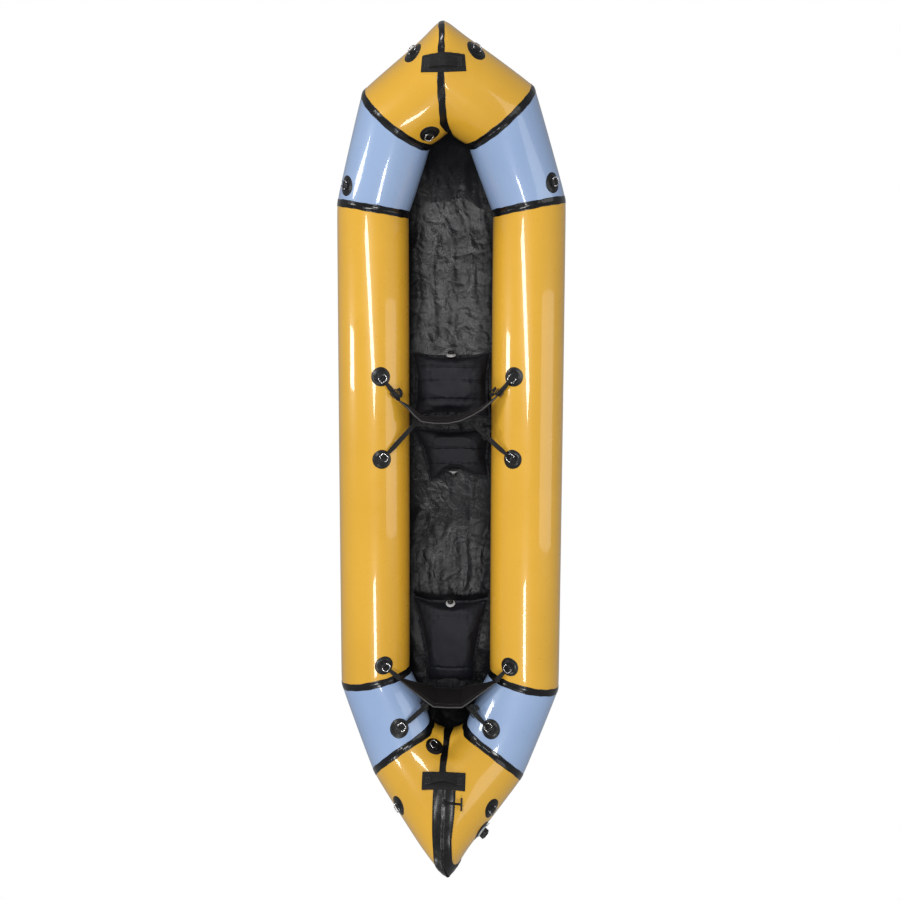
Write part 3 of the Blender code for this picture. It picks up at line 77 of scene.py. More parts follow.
# The stern's inner corner: the angle that moves most, the spread round it, its reach along the quarter tubes
# and how far it moves
CORNER_TURN = -118.0
CORNER_SPREAD = 46.0
CORNER_REACH = 0.85
CORNER_SHIFT = np.array((0.054, 0.058, 0.0))

# Seam tapes. Their edges sink into the skin
TAPE_HALF = 0.0145
TAPE_LIFT = 0.001
TAPE_SINK = -0.0004
TAPE_ROWS = (-1.0, -0.97, -0.8, -0.45, -0.12, 0.12, 0.45, 0.8, 0.97, 1.0)
TAPE_STEP = 2.0
MIDDLE_TAPE_HALF = TAPE_HALF * 0.9
MIDDLE_TAPE_LIFT = TAPE_LIFT * 1.2
MIDDLE_TAPE_SINK = -0.0006
MIDDLE_TAPE_ROWS = (-1.0, -0.97, -0.7, -0.35, 0.0, 0.35, 0.7, 0.97, 1.0)
MIDDLE_TAPE_STEP = 1.5

# Sideways drift of the ends' middle tapes, against the angle round the end
DRIFTS = {
    BOW_END: ((-180.0, 0.0), (-62.0, 0.013), (-48.0, 0.004), (-30.0, -0.01), (20.0, -0.012), (80.0, -0.008),
              (180.0, 0.0)),
    STERN_END: ((-180.0, 0.0), (-80.0, 0.004), (-50.0, -0.004), (-20.0, -0.01), (0.0, -0.009), (30.0, -0.006),
                (60.0, 0.0), (95.0, 0.008), (140.0, 0.004), (180.0, 0.0)),
}

X_AXIS = Vector((1, 0, 0))
Y_AXIS = Vector((0, 1, 0))
Z_AXIS = Vector((0, 0, 1))
UPRIGHT = np.array((0.0, 1.0, 1.0))

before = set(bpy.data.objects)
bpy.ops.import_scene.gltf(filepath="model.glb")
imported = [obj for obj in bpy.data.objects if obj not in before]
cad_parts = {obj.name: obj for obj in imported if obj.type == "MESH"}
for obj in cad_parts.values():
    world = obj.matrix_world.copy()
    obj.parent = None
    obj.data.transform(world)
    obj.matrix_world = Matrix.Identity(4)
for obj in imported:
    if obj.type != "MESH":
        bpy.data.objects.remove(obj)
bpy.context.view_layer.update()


# ---- materials

DUST = (0.32, 0.32, 0.33, 1.0)
DUST_SCALE = 260.0
THREADS = ("X", "Y")


def add_node(tree, kind, inputs=None, **settings):
    """One node with its settings, and with its inputs given as values or as the sockets linked to them."""
    node = tree.nodes.new("ShaderNode" + kind)
    for key, value in settings.items():
        setattr(node, key, value)
    for key, value in (inputs or {}).items():
        if isinstance(value, bpy.types.NodeSocket):
            tree.links.new(value, node.inputs[key])
        else:
            node.inputs[key].default_value = value
    return node


class Look:
    """A node material that is built up from colour drift, roughness marks and layers of bump."""

    def __init__(self, name, slot, coordinates="Object"):
        self.material = bpy.data.materials.new("look_" + name)
        self.material.use_nodes = True
        self.material["slot"] = slot
        self.tree = self.material.node_tree
        self.shader = self.tree.nodes["Principled BSDF"]
        self.place = add_node(self.tree, "TexCoord").outputs[coordinates]
        self.normal = {}

    def texture(self, kind, inputs, **settings):
        """The value of a texture at the material's own coordinates."""
        return add_node(self.tree, kind, {"Vector": self.place, **inputs}, **settings).outputs["Fac"]

    def noise(self, scale, detail, **inputs):
        return self.texture("TexNoise", {"Scale": scale, "Detail": detail, **inputs})

    def wave(self, scale, distortion, detail, direction):
        return self.texture("TexWave", {"Scale": scale, "Distortion": distortion, "Detail": detail},
                            bands_direction=direction)

    def math(self, operation, *values):
        return add_node(self.tree, "Math", dict(enumerate(values)), operation=operation).outputs["Value"]

    def spread(self, value, low, high, start=0.3, stop=0.7):
        """A value carried from one range to another."""
        ranges = {"Value": value, "From Min": start, "From Max": stop, "To Min": low, "To Max": high}
        return add_node(self.tree, "MapRange", ranges).outputs["Result"]

    def mix(self, share, first, second):
        return add_node(self.tree, "Mix", {"Factor": share, "A": first, "B": second},
                        data_type="RGBA").outputs["Result"]

    def shade(self, value, socket):
        self.tree.links.new(value, self.shader.inputs[socket])

    def colour(self, dark, light, scale=3.5, detail=4.0, speck=0.0):
        """Two tones drifting into each other, with pale dust over them."""
        drift = self.spread(self.noise(scale, detail, Roughness=0.55), 0.0, 1.0)
        tone = self.mix(drift, (*dark, 1.0), (*light, 1.0))
        if speck:
            tone = self.mix(self.spread(self.noise(DUST_SCALE, 2.0), 0.0, speck, 0.62, 0.8), tone, DUST)
        self.shade(tone, "Base Color")

    def roughness(self, value, spread=0.05, scale=22.0):
        marks = self.noise(scale, 5.0, Roughness=0.6)
        self.shade(self.spread(marks, value - spread, value + spread), "Roughness")

    def bump(self, height, strength, distance):
        """One more layer of relief."""
        node = add_node(self.tree, "Bump", {"Height": height, "Strength": strength, "Distance": distance,
                                            **self.normal})
        self.normal = {"Normal": node.outputs["Normal"]}
        self.shade(node.outputs["Normal"], "Normal")

    def weave(self, scale, strength, distance):
        """Two crossed sets of threads."""
        threads = [self.wave(scale, 0.3, 1.0, way) for way in THREADS]
        self.bump(self.math("MULTIPLY", *threads), strength, distance)

    def crumple(self, scale, distance):
        """The facets and sharp folds of creased cloth."""
        drift = add_node(self.tree, "TexNoise", {"Vector": self.place, "Scale": scale * 0.6, "Detail": 3.0})
        moved = add_node(self.tree, "VectorMath", {0: drift.outputs["Color"], "Scale": 1.3 / scale},
                         operation="SCALE")
        place = add_node(self.tree, "VectorMath", {0: self.place, 1: moved.outputs["Vector"]}, operation="ADD")
        cells = add_node(self.tree, "TexVoronoi", {"Vector": place.outputs["Vector"], "Scale": scale},
                         feature="DISTANCE_TO_EDGE")
        self.bump(cells.outputs["Distance"], 1.0, distance)

    def painted_shade(self, shine, ends, sides):
        """Painted shade: less shine towards both ends and both sides, where the hull keeps the light off."""
        parts = add_node(self.tree, "SeparateXYZ", {"Vector": self.place}).outputs
        shares = []
        for axis, (middle, *reach) in (("Y", ends), ("X", sides)):
            distance = self.math("ABSOLUTE", self.math("SUBTRACT", parts[axis], middle))
            shares.append(self.spread(distance, 1.0, 0.1, *reach))
        self.shade(self.math("MULTIPLY", self.math("MULTIPLY", *shares), shine), "Specular IOR Level")

    def finish(self, **values):
        """The material, with the shader's other values."""
        for key, value in values.items():
            self.shader.inputs[key.replace("_", " ").title().replace("Ior", "IOR")].default_value = value
        return self.material


def shell_look(name, dark, light):
    """Glossy coated hull cloth."""
    look = Look(name, name)
    look.colour(dark, light, 2.2, 5.0)
    look.roughness(0.3, 0.05, 14.0)
    look.bump(look.noise(5.0, 2.0), 0.2, 0.006)
    look.bump(look.noise(45.0, 3.0), 0.06, 0.0012)
    look.weave(420.0, 0.1, 0.0002)
    return look.finish(coat_weight=0.8, coat_roughness=0.045, specular_ior_level=0.3)


def cloth_look(name, dark, light, roughness, weave, sheen=0.0, crease=0.0, coat=0.0, speck=0.0, shine=0.25,
               crumples=(), painted_shade=()):
    """Black coated or plain cloth."""
    look = Look(name, name)
    look.colour(dark, light, 5.0, 5.0, speck)
    look.roughness(roughness, 0.07, 18.0)
    look.bump(look.noise(26.0, 4.0, Distortion=1.5), crease, 0.002)
    for scale, distance in crumples:
        look.crumple(scale, distance)
    look.weave(*weave)
    if painted_shade:
        look.painted_shade(shine, *painted_shade)
    return look.finish(coat_weight=coat, coat_roughness=0.12, sheen_weight=sheen, sheen_roughness=0.4,
                       specular_ior_level=shine)


def webbing_look(name):
    """Narrow woven webbing: ribs across it and cords along it."""
    look = Look(name, name, "UV")
    look.colour((0.004, 0.004, 0.0045), (0.012, 0.012, 0.013), 160.0, 3.0, 0.05)
    look.roughness(0.62, 0.08, 300.0)
    look.bump(look.wave(190.0, 1.0, 2.0, "Y"), 0.5, 0.0006)
    look.bump(look.wave(120.0, 0.6, 1.0, "X"), 0.4, 0.0005)
    return look.finish(sheen_weight=0.03, specular_ior_level=0.25)


def metal_look(name):
    """Bright wire with draw marks."""
    look = Look(name, name)
    look.colour((0.5, 0.5, 0.52), (0.66, 0.66, 0.67), 40.0)
    look.roughness(0.22, 0.08, 90.0)
    look.bump(look.noise(400.0, 2.0), 0.1, 0.0002)
    return look.finish(metallic=1.0)


def plastic_look(name, dark, light, roughness, label=None):
    """Moulded plastic with a fine grain."""
    look = Look(label or name, name)
    look.colour(dark, light, 30.0)
    look.roughness(roughness, 0.06, 60.0)
    look.bump(look.noise(900.0, 2.0), 0.15, 0.0002)
    return look.finish(specular_ior_level=0.35)


MATERIALS = {look["slot"]: look for look in (
    shell_look("shell_yellow", (0.6, 0.325, 0.026), (0.66, 0.365, 0.034)),
    shell_look("shell_blue", (0.24, 0.335, 0.53), (0.28, 0.385, 0.58)),
    cloth_look("tape_black", (0.003, 0.003, 0.0035), (0.006, 0.006, 0.007), 0.22, (420.0, 0.06, 0.0002),
               crease=0.6, coat=0.35),
    # The floor's shine is painted down towards its ends and sides, as painted shade where the hull keeps the
    # light off.
    cloth_look("floor_black", (0.004, 0.0043, 0.005), (0.009, 0.0095, 0.011), 0.27, (260.0, 0.2, 0.0003),
               crease=0.6, speck=0.02, shine=0.23, crumples=((8.0, 0.006), (21.0, 0.0022)),
               painted_shade=((0.08, 0.93, 1.08), (0.0, 0.09, 0.18))),
    cloth_look("cushion_black", (0.006, 0.0065, 0.009), (0.011, 0.0118, 0.016), 0.46, (330.0, 0.3, 0.0003),
               sheen=0.02, crease=0.3, shine=0.15),
    cloth_look("band_black", (0.004, 0.0035, 0.004), (0.008, 0.007, 0.008), 0.62, (300.0, 0.5, 0.0004),
               sheen=0.02, crease=0.35, speck=0.02),
    webbing_look("webbing_black"),
    cloth_look("patch_black", (0.004, 0.004, 0.0045), (0.009, 0.009, 0.0095), 0.32, (300.0, 0.2, 0.0003),
               crease=0.3, coat=0.15, speck=0.02),
    metal_look("ring_steel"),
    plastic_look("zip_black", (0.004, 0.004, 0.0045), (0.009, 0.009, 0.0095), 0.28),
    plastic_look("valve_black", (0.005, 0.005, 0.0055), (0.01, 0.01, 0.011), 0.36),
    plastic_look("valve_grey", (0.36, 0.37, 0.38), (0.46, 0.47, 0.48), 0.38),
)}
# Pale thread for the stitches; the backrests' upper piping wears it too, as a painted highlight along their top
# edges.
THREAD_AND_HIGHLIGHT = plastic_look("webbing_black", (0.05, 0.05, 0.052), (0.09, 0.09, 0.092), 0.55, "thread")


# ---- mesh helpers

# Rods: a direction that none of them has, how sharp their ends are, and the corners round a thread
ROD_START = (0.31, 0.17, 0.93)
ROD_TIP = 1e-4
THREAD_COUNT = 5


def unit(vector):
    """The vectors' directions."""
    return vector / np.maximum(np.linalg.norm(vector, axis=-1, keepdims=True), 1e-12)


def smooth_noise(points, scale, seed=0.0):
    """Smooth noise from about -1 to 1 at points."""
    flat = np.asarray(points, float).reshape(-1, 3) * scale + seed
    return np.array([noise.noise(Vector(point)) for point in flat]).reshape(np.shape(points)[:-1])


def bell(distance, reach):
    """A smooth hump, 1 in its middle."""
    return np.exp(-(distance / reach) ** 2)


def power(values, exponent):
    """Values raised to an exponent, with their signs kept."""
    return np.sign(values) * np.abs(values) ** exponent


def round_turns(count):
    """Evenly spaced turns round a circle, in radians."""
    return np.arange(count) * math.tau / count


def run_length(points, axis):
    """The distance run along an axis of a grid of points."""
    steps = np.linalg.norm(np.diff(points, axis=axis), axis=-1)
    return np.pad(np.cumsum(steps, axis=axis), [(1, 0) if k == axis else (0, 0) for k in range(steps.ndim)])


def grid_mesh(points, closed=False):
    """A mesh through a grid of points, rows by columns, with lengths in metres as its texture places."""
    points = np.asarray(points, float)
    rows, columns = points.shape[:2]
    index = np.arange(rows * columns).reshape(rows, columns)
    after = np.roll(index, -1, axis=1) if closed else index[:, 1:]
    here = index if closed else index[:, :-1]
    faces = np.stack((here[:-1], after[:-1], after[1:], here[1:]), axis=-1).reshape(-1, 4)
    mesh = bpy.data.meshes.new("grid")
    mesh.from_pydata(points.reshape(-1, 3).tolist(), [], faces.tolist())
    wide = np.concatenate((points, points[:, :1]), axis=1) if closed else points
    places = np.stack((run_length(wide, 1), run_length(wide, 0)), axis=-1)
    corners = (places[:-1, :-1], places[:-1, 1:], places[1:, 1:], places[1:, :-1])
    layer = mesh.uv_layers.new(name="metres")
    layer.data.foreach_set("uv", np.stack(corners, axis=2).reshape(-1).astype(np.float32))
    mesh.shade_smooth()
    return mesh


def join_meshes(meshes):
    """Several meshes as one."""
    bm = bmesh.new()
    for mesh in meshes:
        bm.from_mesh(mesh)
        bpy.data.meshes.remove(mesh)
    return mesh_of(bm)


def mesh_of(bm):
    """The mesh that bmesh data makes."""
    mesh = bpy.data.meshes.new("joined")
    bm.to_mesh(mesh)
    bm.free()
    return mesh


def add_piece(name, meshes, slot, body, *nodes, material=None):
    """Meshes as one piece with the look of a slot. It rides on its body and stands for its CAD nodes."""
    mesh = meshes[0]
    if len(meshes) > 1:
        mesh = join_meshes(meshes)
        mesh.shade_smooth()
    mesh.name = "look_" + name
    mesh.materials.append(material or MATERIALS[slot])
    made = bpy.data.objects.new("look_" + name, mesh)
    bpy.context.scene.collection.objects.link(made)
    if body:
        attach(made, body)
    if nodes:
        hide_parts(*nodes)
    return made


def rod_mesh(path, radius, closed=False, count=10):
    """A round rod along a path. Its radius is one value or one for each point."""
    path = np.asarray(path, float)
    if closed:
        along = unit(np.roll(path, -1, axis=0) - np.roll(path, 1, axis=0))
    else:
        along = unit(np.gradient(path, axis=0))
    sides = []
    here = np.cross(along[0], ROD_START)
    for direction in along:
        here = here - direction * (here @ direction)
        here = here / np.linalg.norm(here)
        sides.append(here)
    sides = np.array(sides)
    turns = round_turns(count)[:, None]
    reach = sides[:, None] * np.cos(turns) + np.cross(along, sides)[:, None] * np.sin(turns)
    points = path[:, None] + reach * np.broadcast_to(radius, (len(path),))[:, None, None]
    if closed:
        points = np.concatenate((points, points[:1]))
    else:
        first, last = (path[k][None, None] + reach[k][None] * ROD_TIP for k in (0, -1))
        points = np.concatenate((first, points, last))
    return grid_mesh(points, closed=True)


def smooth_path(points, count):
    """A curve through points, evenly spaced."""
    points = np.asarray(points, float)
    padded = np.concatenate((2 * points[:1] - points[1:2], points, 2 * points[-1:] - points[-2:-1]))
    t = np.linspace(0, 1, 24, endpoint=False)[:, None]
    fine = []
    for a, b, c, d in zip(padded, padded[1:], padded[2:], padded[3:]):
        fine.append(0.5 * (2 * b + (c - a) * t + (2 * a - 5 * b + 4 * c - d) * t ** 2
                           + (3 * b - a - 3 * c + d) * t ** 3))
    fine = np.concatenate(fine + [points[-1:]])
    run = run_length(fine, 0)
    wanted = np.linspace(0, run[-1], count)
    return np.stack([np.interp(wanted, run, column) for column in fine.T], axis=-1)


def capped(points, share):
    """Rows of points with a drawn-in row at both ends, which closes a body."""
    first, last = (row.mean(axis=0) + (row - row.mean(axis=0)) * share for row in (points[0], points[-1]))
    return np.concatenate((first[None], points, last[None]))


def band_mesh(path, sides, widths, thickness, roundness=0.5):
    """Flat webbing along a path, with rounded selvedges."""
    path = np.asarray(path, float)
    along = unit(np.gradient(path, axis=0))
    sides = np.broadcast_to(np.asarray(sides, float), path.shape)
    sides = unit(sides - along * np.sum(sides * along, axis=1, keepdims=True))
    half = np.broadcast_to(widths, (len(path),))[:, None, None] / 2
    upper = [(-1, 0, 0), (-1, 0.7 * roundness, 0.35), (-1, 1.6 * roundness, 0.5), (-0.5, 0, 0.5), (0, 0, 0.5),
             (0.5, 0, 0.5), (1, -1.6 * roundness, 0.5), (1, -0.7 * roundness, 0.35)]
    outline = np.concatenate((upper, -np.array(upper))) * (1, thickness, thickness)
    shares, insets, heights = outline.T[:, None, :, None]
    points = path[:, None] + sides[:, None] * (shares * half + insets)
    points = points + np.cross(along, sides)[:, None] * heights
    return grid_mesh(capped(points, 0.02), closed=True)


def turning(place):
    """A frame's rotation and origin as arrays."""
    return np.array(place.to_3x3()), np.array(place.translation)


def revolved_mesh(profile, place, count=48, ribs=0, rib_depth=0.0, rib_start=0.0):
    """A body turned about a frame's Z axis from (radius, height) pairs, with grooves beyond a radius."""
    turns = round_turns(count)
    rows = []
    for radius, height in profile:
        grooved = ribs and radius > rib_start
        reach = radius * (1 - rib_depth * (np.cos(turns * ribs) < 0) * grooved)
        rows.append(np.stack((np.cos(turns) * reach, np.sin(turns) * reach, np.full(count, height)), axis=-1))
    rotation, origin = turning(place)
    return grid_mesh(np.array(rows) @ rotation.T + origin, closed=True)


def frame_at(origin, x_direction, y_direction):
    """A matrix with its origin and the directions of its X and Y axes."""
    x_axis = Vector(x_direction).normalized()
    y_axis = Vector(y_direction)
    y_axis = (y_axis - x_axis * y_axis.dot(x_axis)).normalized()
    return frame_of(origin, x_axis, y_axis, x_axis.cross(y_axis))


def frame_of(origin, x_axis, y_axis, z_axis):
    """A matrix from its origin and axes."""
    place = Matrix((x_axis, y_axis, z_axis)).transposed().to_4x4()
    place.translation = Vector(origin)
    return place


# ---- hull geometry


class Tube:
    """One straight tube of the starboard half, with mitred ends and a frame carried round the bends."""

    def __init__(self, joints, radii, normals, up, out):
        self.joints = np.array(joints)
        self.radii = radii
        self.length = np.linalg.norm(self.joints[1] - self.joints[0])
        self.axis = (self.joints[1] - self.joints[0]) / self.length
        self.normals = np.array(normals)
        self.up = np.array(up)
        self.out = np.array(out)
        top = np.array(Z_AXIS) - self.axis * self.axis[2]
        self.twist = math.degrees(math.atan2(top @ self.out, top @ self.up))

    def radial(self, angles):
        """Outward directions at angles of the carried frame."""
        turn = np.radians(angles)[..., None]
        return self.up * np.cos(turn) + self.out * np.sin(turn)

    def lines(self, angles, offset=0.0):
        """The ends of the surface lines at these angles, on the mitre planes."""
        radial = self.radial(angles)
        ends = []
        for joint, normal, radius in zip(self.joints, self.normals, self.radii):
            reach = radial * (radius + np.asarray(offset)[..., None])
            ends.append(joint + reach - self.axis * ((reach @ normal) / (self.axis @ normal))[..., None])
        return ends

    def spot(self, share, angle, offset=0.0):
        """A place before the skin is shaped, at a share of the middle line and an angle from the top.

        Its share of its own surface line and its angle in the carried frame follow.
        """
        turn = np.asarray(angle, float) + self.twist
        first, last = self.lines(turn, np.asarray(offset))
        part = (share * self.length - (first - self.joints[0]) @ self.axis) / ((last - first) @ self.axis)
        return first + (last - first) * part[..., None], part, turn


def build_tubes():
    """The five tubes of the starboard half."""
    joints = [Vector(joint) for joint in JOINTS]
    axes = [(b - a).normalized() for a, b in zip(joints, joints[1:])]
    normals = [X_AXIS] + [(a + b).normalized() for a, b in zip(axes, axes[1:])] + [X_AXIS]
    carried = {SIDE: (Z_AXIS, X_AXIS)}
    for known, wanted in ((SIDE, BOW_QUARTER), (BOW_QUARTER, BOW_END), (SIDE, STERN_QUARTER),
                          (STERN_QUARTER, STERN_END)):
        turn = axes[known].rotation_difference(axes[wanted])
        carried[wanted] = [turn @ axis for axis in carried[known]]
    return [Tube(joints[i:i + 2], RADII[i:i + 2], normals[i:i + 2], *carried[i]) for i in range(len(axes))]


TUBES = build_tubes()


def mirrored(vectors, side):
    """Starboard directions on the asked side."""
    return vectors * np.array((side, 1.0, 1.0))


def side_of(points, side):
    """Starboard points on the asked side, with the lean of the tips."""
    points = mirrored(points, side)
    for end, lean, start, reach in TIP_LEANS:
        share = np.clip((points[..., 1] * end - start) / reach, 0, 1)
        points[..., 0] += lean * share * share * (3 - 2 * share)
    return points


def round_tip(points, number, radial, shares):
    """Fills out the nose and rounds off the ridge between the end tubes, without moving points sideways."""
    outward = radial[..., 1] * (1 if number == BOW_END else -1)
    fullness, reach = NOSE[number]
    x = np.abs(points[..., 0])
    nose = fullness * bell(x, reach) * np.clip(outward, 0, 1) ** 0.7
    outside = np.clip(0.5 + 0.8 * outward, 0, 1)
    soft = TIP_ROUNDING[number] * outside + CORNER_FILL[number] * (1 - outside)
    from_seam = np.clip(1 - shares if number == BOW_END else shares, 0, 1)
    bend = (np.sqrt(x * x + soft * soft) - x) * (1 - from_seam ** 2 * (3 - 2 * from_seam))
    upright = radial * UPRIGHT
    size = np.maximum(np.linalg.norm(upright, axis=-1), 0.3)
    axis = TUBES[number].axis
    rise = nose + bend * (radial @ (axis / axis[0] * UPRIGHT)) / size
    return points + upright * (rise / size)[..., None]


def widen_corner(points, number, angles, shares):
    """Carries the inner end of the seam between the stern's two tubes forward and outboard."""
    turn = (angles - CORNER_TURN + 180.0) % 360.0 - 180.0
    near = np.clip(shares, 0, 1) if number == STERN_END else np.clip(1 - shares / CORNER_REACH, 0, 1) ** 1.5
    return points + CORNER_SHIFT * (near * bell(turn, CORNER_SPREAD))[..., None]


def gathering(joint, angles):
    """Puckers round a seam, from 0 to 1."""
    turn = np.radians(angles)
    phase = 2.6 * joint
    waves = np.sin(23 * turn + phase + 1.3 * np.sin(3 * turn)) + 0.6 * np.sin(41 * turn + 2.1 * phase)
    patchy = 0.5 + 0.5 * np.sin(2 * turn + phase) * np.sin(5 * turn - phase)
    return (0.5 + 0.31 * waves) * (0.35 + 0.65 * patchy)


def surface(number, shares, angles, offset=0.0):
    """Points of a starboard tube's skin, at shares along its surface lines and angles of its carried frame."""
    tube = TUBES[number]
    shares, angles = np.broadcast_arrays(np.asarray(shares, float), np.asarray(angles, float))
    first, last = tube.lines(angles, np.broadcast_to(np.asarray(offset, float), angles.shape))
    length = np.linalg.norm(last - first, axis=-1)
    radial = tube.radial(angles)
    lift = SWELL[number] * np.sin(math.pi * np.clip(shares, 0, 1))
    for joint, near in ((number, shares * length), (number + 1, (1 - shares) * length)):
        near = np.maximum(near, 0)
        drawn = DRAW_IN * (0.5 if joint in (0, len(TUBES)) else 1.0)
        lift = lift - drawn * np.exp(-near / DRAW_REACH)
        lift = lift - PUCKER * gathering(joint, angles) * np.exp(-near / PUCKER_REACH)
    plain = first + (last - first) * shares[..., None] + radial * lift[..., None]
    points = plain
    if number in TIP_ROUNDING:
        points = round_tip(points, number, radial, shares)
    if number in (STERN_END, STERN_QUARTER):
        points = widen_corner(points, number, angles, shares)
    if number in FLAT_SPOTS:
        near = np.linalg.norm(plain - tube.spot(*FLAT_SPOTS[number])[0], axis=-1) / FLAT_REACH
        points = points + (plain - radial * FLAT_DEPTH - points) * np.exp(-near ** 4)[..., None]
    return points


def make_hull():
    """The ten inflated tubes."""
    angles = round_turns(GIRTH_COUNT) * 360.0 / math.tau
    for number, segment in enumerate(SEGMENT_NAMES):
        count = LENGTH_COUNTS[number]
        shares = 0.5 - 0.5 * np.cos(math.pi * np.arange(count + 1) / count)
        for side_name, side in SIDES.items():
            points = surface(number, shares[:, None], angles + (PORT_TURN if side == PORT else 0.0))
            mesh = grid_mesh(side_of(points, side)[:, ::side], closed=True)
            node = "_".join((side_name, segment, "tube"))
            add_piece(node, [mesh], SEGMENT_SLOTS[number], "hull", node)


def mitre_tape(near, side):
    """The tape over the mitre between two tubes of one side."""
    angles = np.arange(0.0, 360.0, TAPE_STEP)
    turn = np.radians(angles)
    rows = []
    for share in TAPE_ROWS:
        number = near if share < 0 else near + 1
        first, last = TUBES[number].lines(angles)
        wobble = 1 + 0.05 * np.sin(7 * turn + number) + 0.04 * np.sin(17 * turn)
        part = abs(share) * TAPE_HALF * wobble / np.linalg.norm(last - first, axis=-1)
        lift = TAPE_SINK if abs(share) == 1 else TAPE_LIFT
        rows.append(side_of(surface(number, part if share > 0 else 1 - part, angles, lift), side))
    return grid_mesh(np.array(rows)[:, ::side], closed=True)


class EndSeam:
    """The middle seam of an end. Angles run round it from its smoothest point, outwards positive."""

    def __init__(self, number):
        self.number = number
        self.tube = TUBES[number]
        self.end = 0 if number == STERN_END else 1
        self.joint = self.tube.joints[self.end]
        self.away = self.tube.axis * (1 - 2 * self.end)
        smooth = unit(np.cross(X_AXIS, self.away))
        smooth = smooth if smooth[2] > 0 else -smooth
        outer = np.array(X_AXIS) - self.away * self.away[0]
        self.start, outward = (np.degrees(np.arctan2(vector @ self.tube.out, vector @ self.tube.up))
                               for vector in (smooth, outer))
        self.sense = 1 if (outward - self.start) % 360 < 180 else -1

    def tube_angle(self, angles):
        """Angles of the tube's carried frame."""
        return self.start + self.sense * np.asarray(angles, float)

    def radial(self, angles):
        """The starboard tube's outward directions."""
        return self.tube.radial(self.tube_angle(angles))

    def ridge(self, angles):
        """Points of the sharp seam, before it is rounded off."""
        return self.tube.lines(self.tube_angle(angles))[self.end]

    def flank(self, angles):
        """Directions round the seam."""
        return unit(self.ridge(angles + 1.0) - self.ridge(angles - 1.0))

    def upright(self, angle):
        """The direction off the hull, on the boat's middle plane."""
        return unit(self.radial(angle) * UPRIGHT)

    def turn_for(self, length, angle):
        """The angle that a length covers."""
        return length / np.linalg.norm(self.ridge(angle + 0.5) - self.ridge(angle - 0.5))

    def spot(self, angles, across, offset=0.0):
        """Skin points at signed distances square to the seam, starboard positive."""
        angles, across = np.broadcast_arrays(np.asarray(angles, float), np.asarray(across, float))
        square = unit(np.cross(self.flank(angles), self.radial(angles)))
        square = square * np.where(square[..., :1] < 0, -1.0, 1.0)
        reach = np.abs(across)
        turn = np.degrees(reach * np.sum(square * self.radial(angles + 90.0), axis=-1) / self.tube.radii[0])
        along = (self.ridge(angles) - self.joint) @ self.away + reach * (square @ self.away)
        tube_angle = self.tube_angle(angles + turn)
        first, last = self.tube.lines(tube_angle)
        place = self.joint + self.away * along[..., None]
        share = ((place - first) @ self.tube.axis) / ((last - first) @ self.tube.axis)
        points = surface(self.number, share, tube_angle, offset)
        points[..., 0] *= np.where(across < 0, -1.0, 1.0)
        return side_of(points, STARBOARD)

    def drifted(self, drift, angles, across, offset):
        """Skin points beside a line that wanders off the seam."""
        return self.spot(angles, across + np.interp(angles, *np.transpose(drift)), offset)


BOW_SEAM = EndSeam(BOW_END)
STERN_SEAM = EndSeam(STERN_END)


def middle_tape(seam, first, last):
    """The tape along an end's middle seam."""
    angles = np.arange(first, last, MIDDLE_TAPE_STEP)
    turn = np.radians(angles)
    wobble = 1 + 0.07 * np.sin(9 * turn) + 0.05 * np.sin(21 * turn)
    return grid_mesh([seam.drifted(DRIFTS[seam.number], angles, share * MIDDLE_TAPE_HALF * wobble,
                                   MIDDLE_TAPE_SINK if abs(share) == 1 else MIDDLE_TAPE_LIFT)
                      for share in MIDDLE_TAPE_ROWS])


def make_tapes():
    """The seam tapes of both ends. The zip covers the rest of the stern's middle seam."""
    for end, seam, mitres, last in (("bow", BOW_SEAM, (SIDE, BOW_QUARTER), 175.0),
                                    ("stern", STERN_SEAM, (STERN_END, STERN_QUARTER), 3.0)):
        meshes = [mitre_tape(near, side) for near in mitres for side in SIDES.values()]
        name = end + "_seam_tapes"
        add_piece(name, meshes + [middle_tape(seam, -175.0, last)], "tape_black", "hull", name)


# ---- floor

# The floor's edge from the stern's apex to the bow's: tube, then share of the surface line and angle of the
# carried frame for each place
FLOOR_EDGE = {
    STERN_END: ((0.0, -118.0), (0.5, -122.0), (0.95, -126.0)),
    STERN_QUARTER: ((0.2, -130.0), (0.5, -138.0), (0.8, -146.0)),
    SIDE: ((0.02, -148.0), (0.25, -148.0), (0.5, -148.0), (0.75, -148.0), (0.98, -148.0)),
    BOW_QUARTER: ((0.3, -148.0), (0.66, -142.0), (0.95, -130.0)),
    BOW_END: ((0.25, -126.0), (0.6, -122.0), (1.0, -118.0)),
}
FLOOR_LIFT = -0.0015
FLOOR_CLOTH = 0.0006
FLOOR_ROWS = 300
FLOOR_COLUMNS = 60

# Its form: how far it sags between the side tubes, and by share of its width at the ends, the heights between
# which one gives way to the other, and the depths of its creases, waves, fans of folds, pleats and bulge
FLOOR_SAG = 0.0095
FLOOR_END_SAG_SHARE = 0.12
FLOOR_RISE = (0.03, 0.12)
CREASE = 0.0042
WAVE = 0.0045
FAN = 0.003
FAN_START = 0.8
FAN_REACH = 0.25
PLEAT = 0.0014
PLEAT_PLACE = -0.5
PLEAT_REACH = 0.11
BULGE = 0.012
BULGE_PLACE = -0.26
BULGE_REACH = 0.14
LOOSE_WIDTH = 0.15


def floor_edge(side):
    """Places along one edge of the floor."""
    spots = [side_of(surface(number, share, angle, FLOOR_LIFT), side)
             for number, places in FLOOR_EDGE.items() for share, angle in places]
    return smooth_path(spots, FLOOR_ROWS)


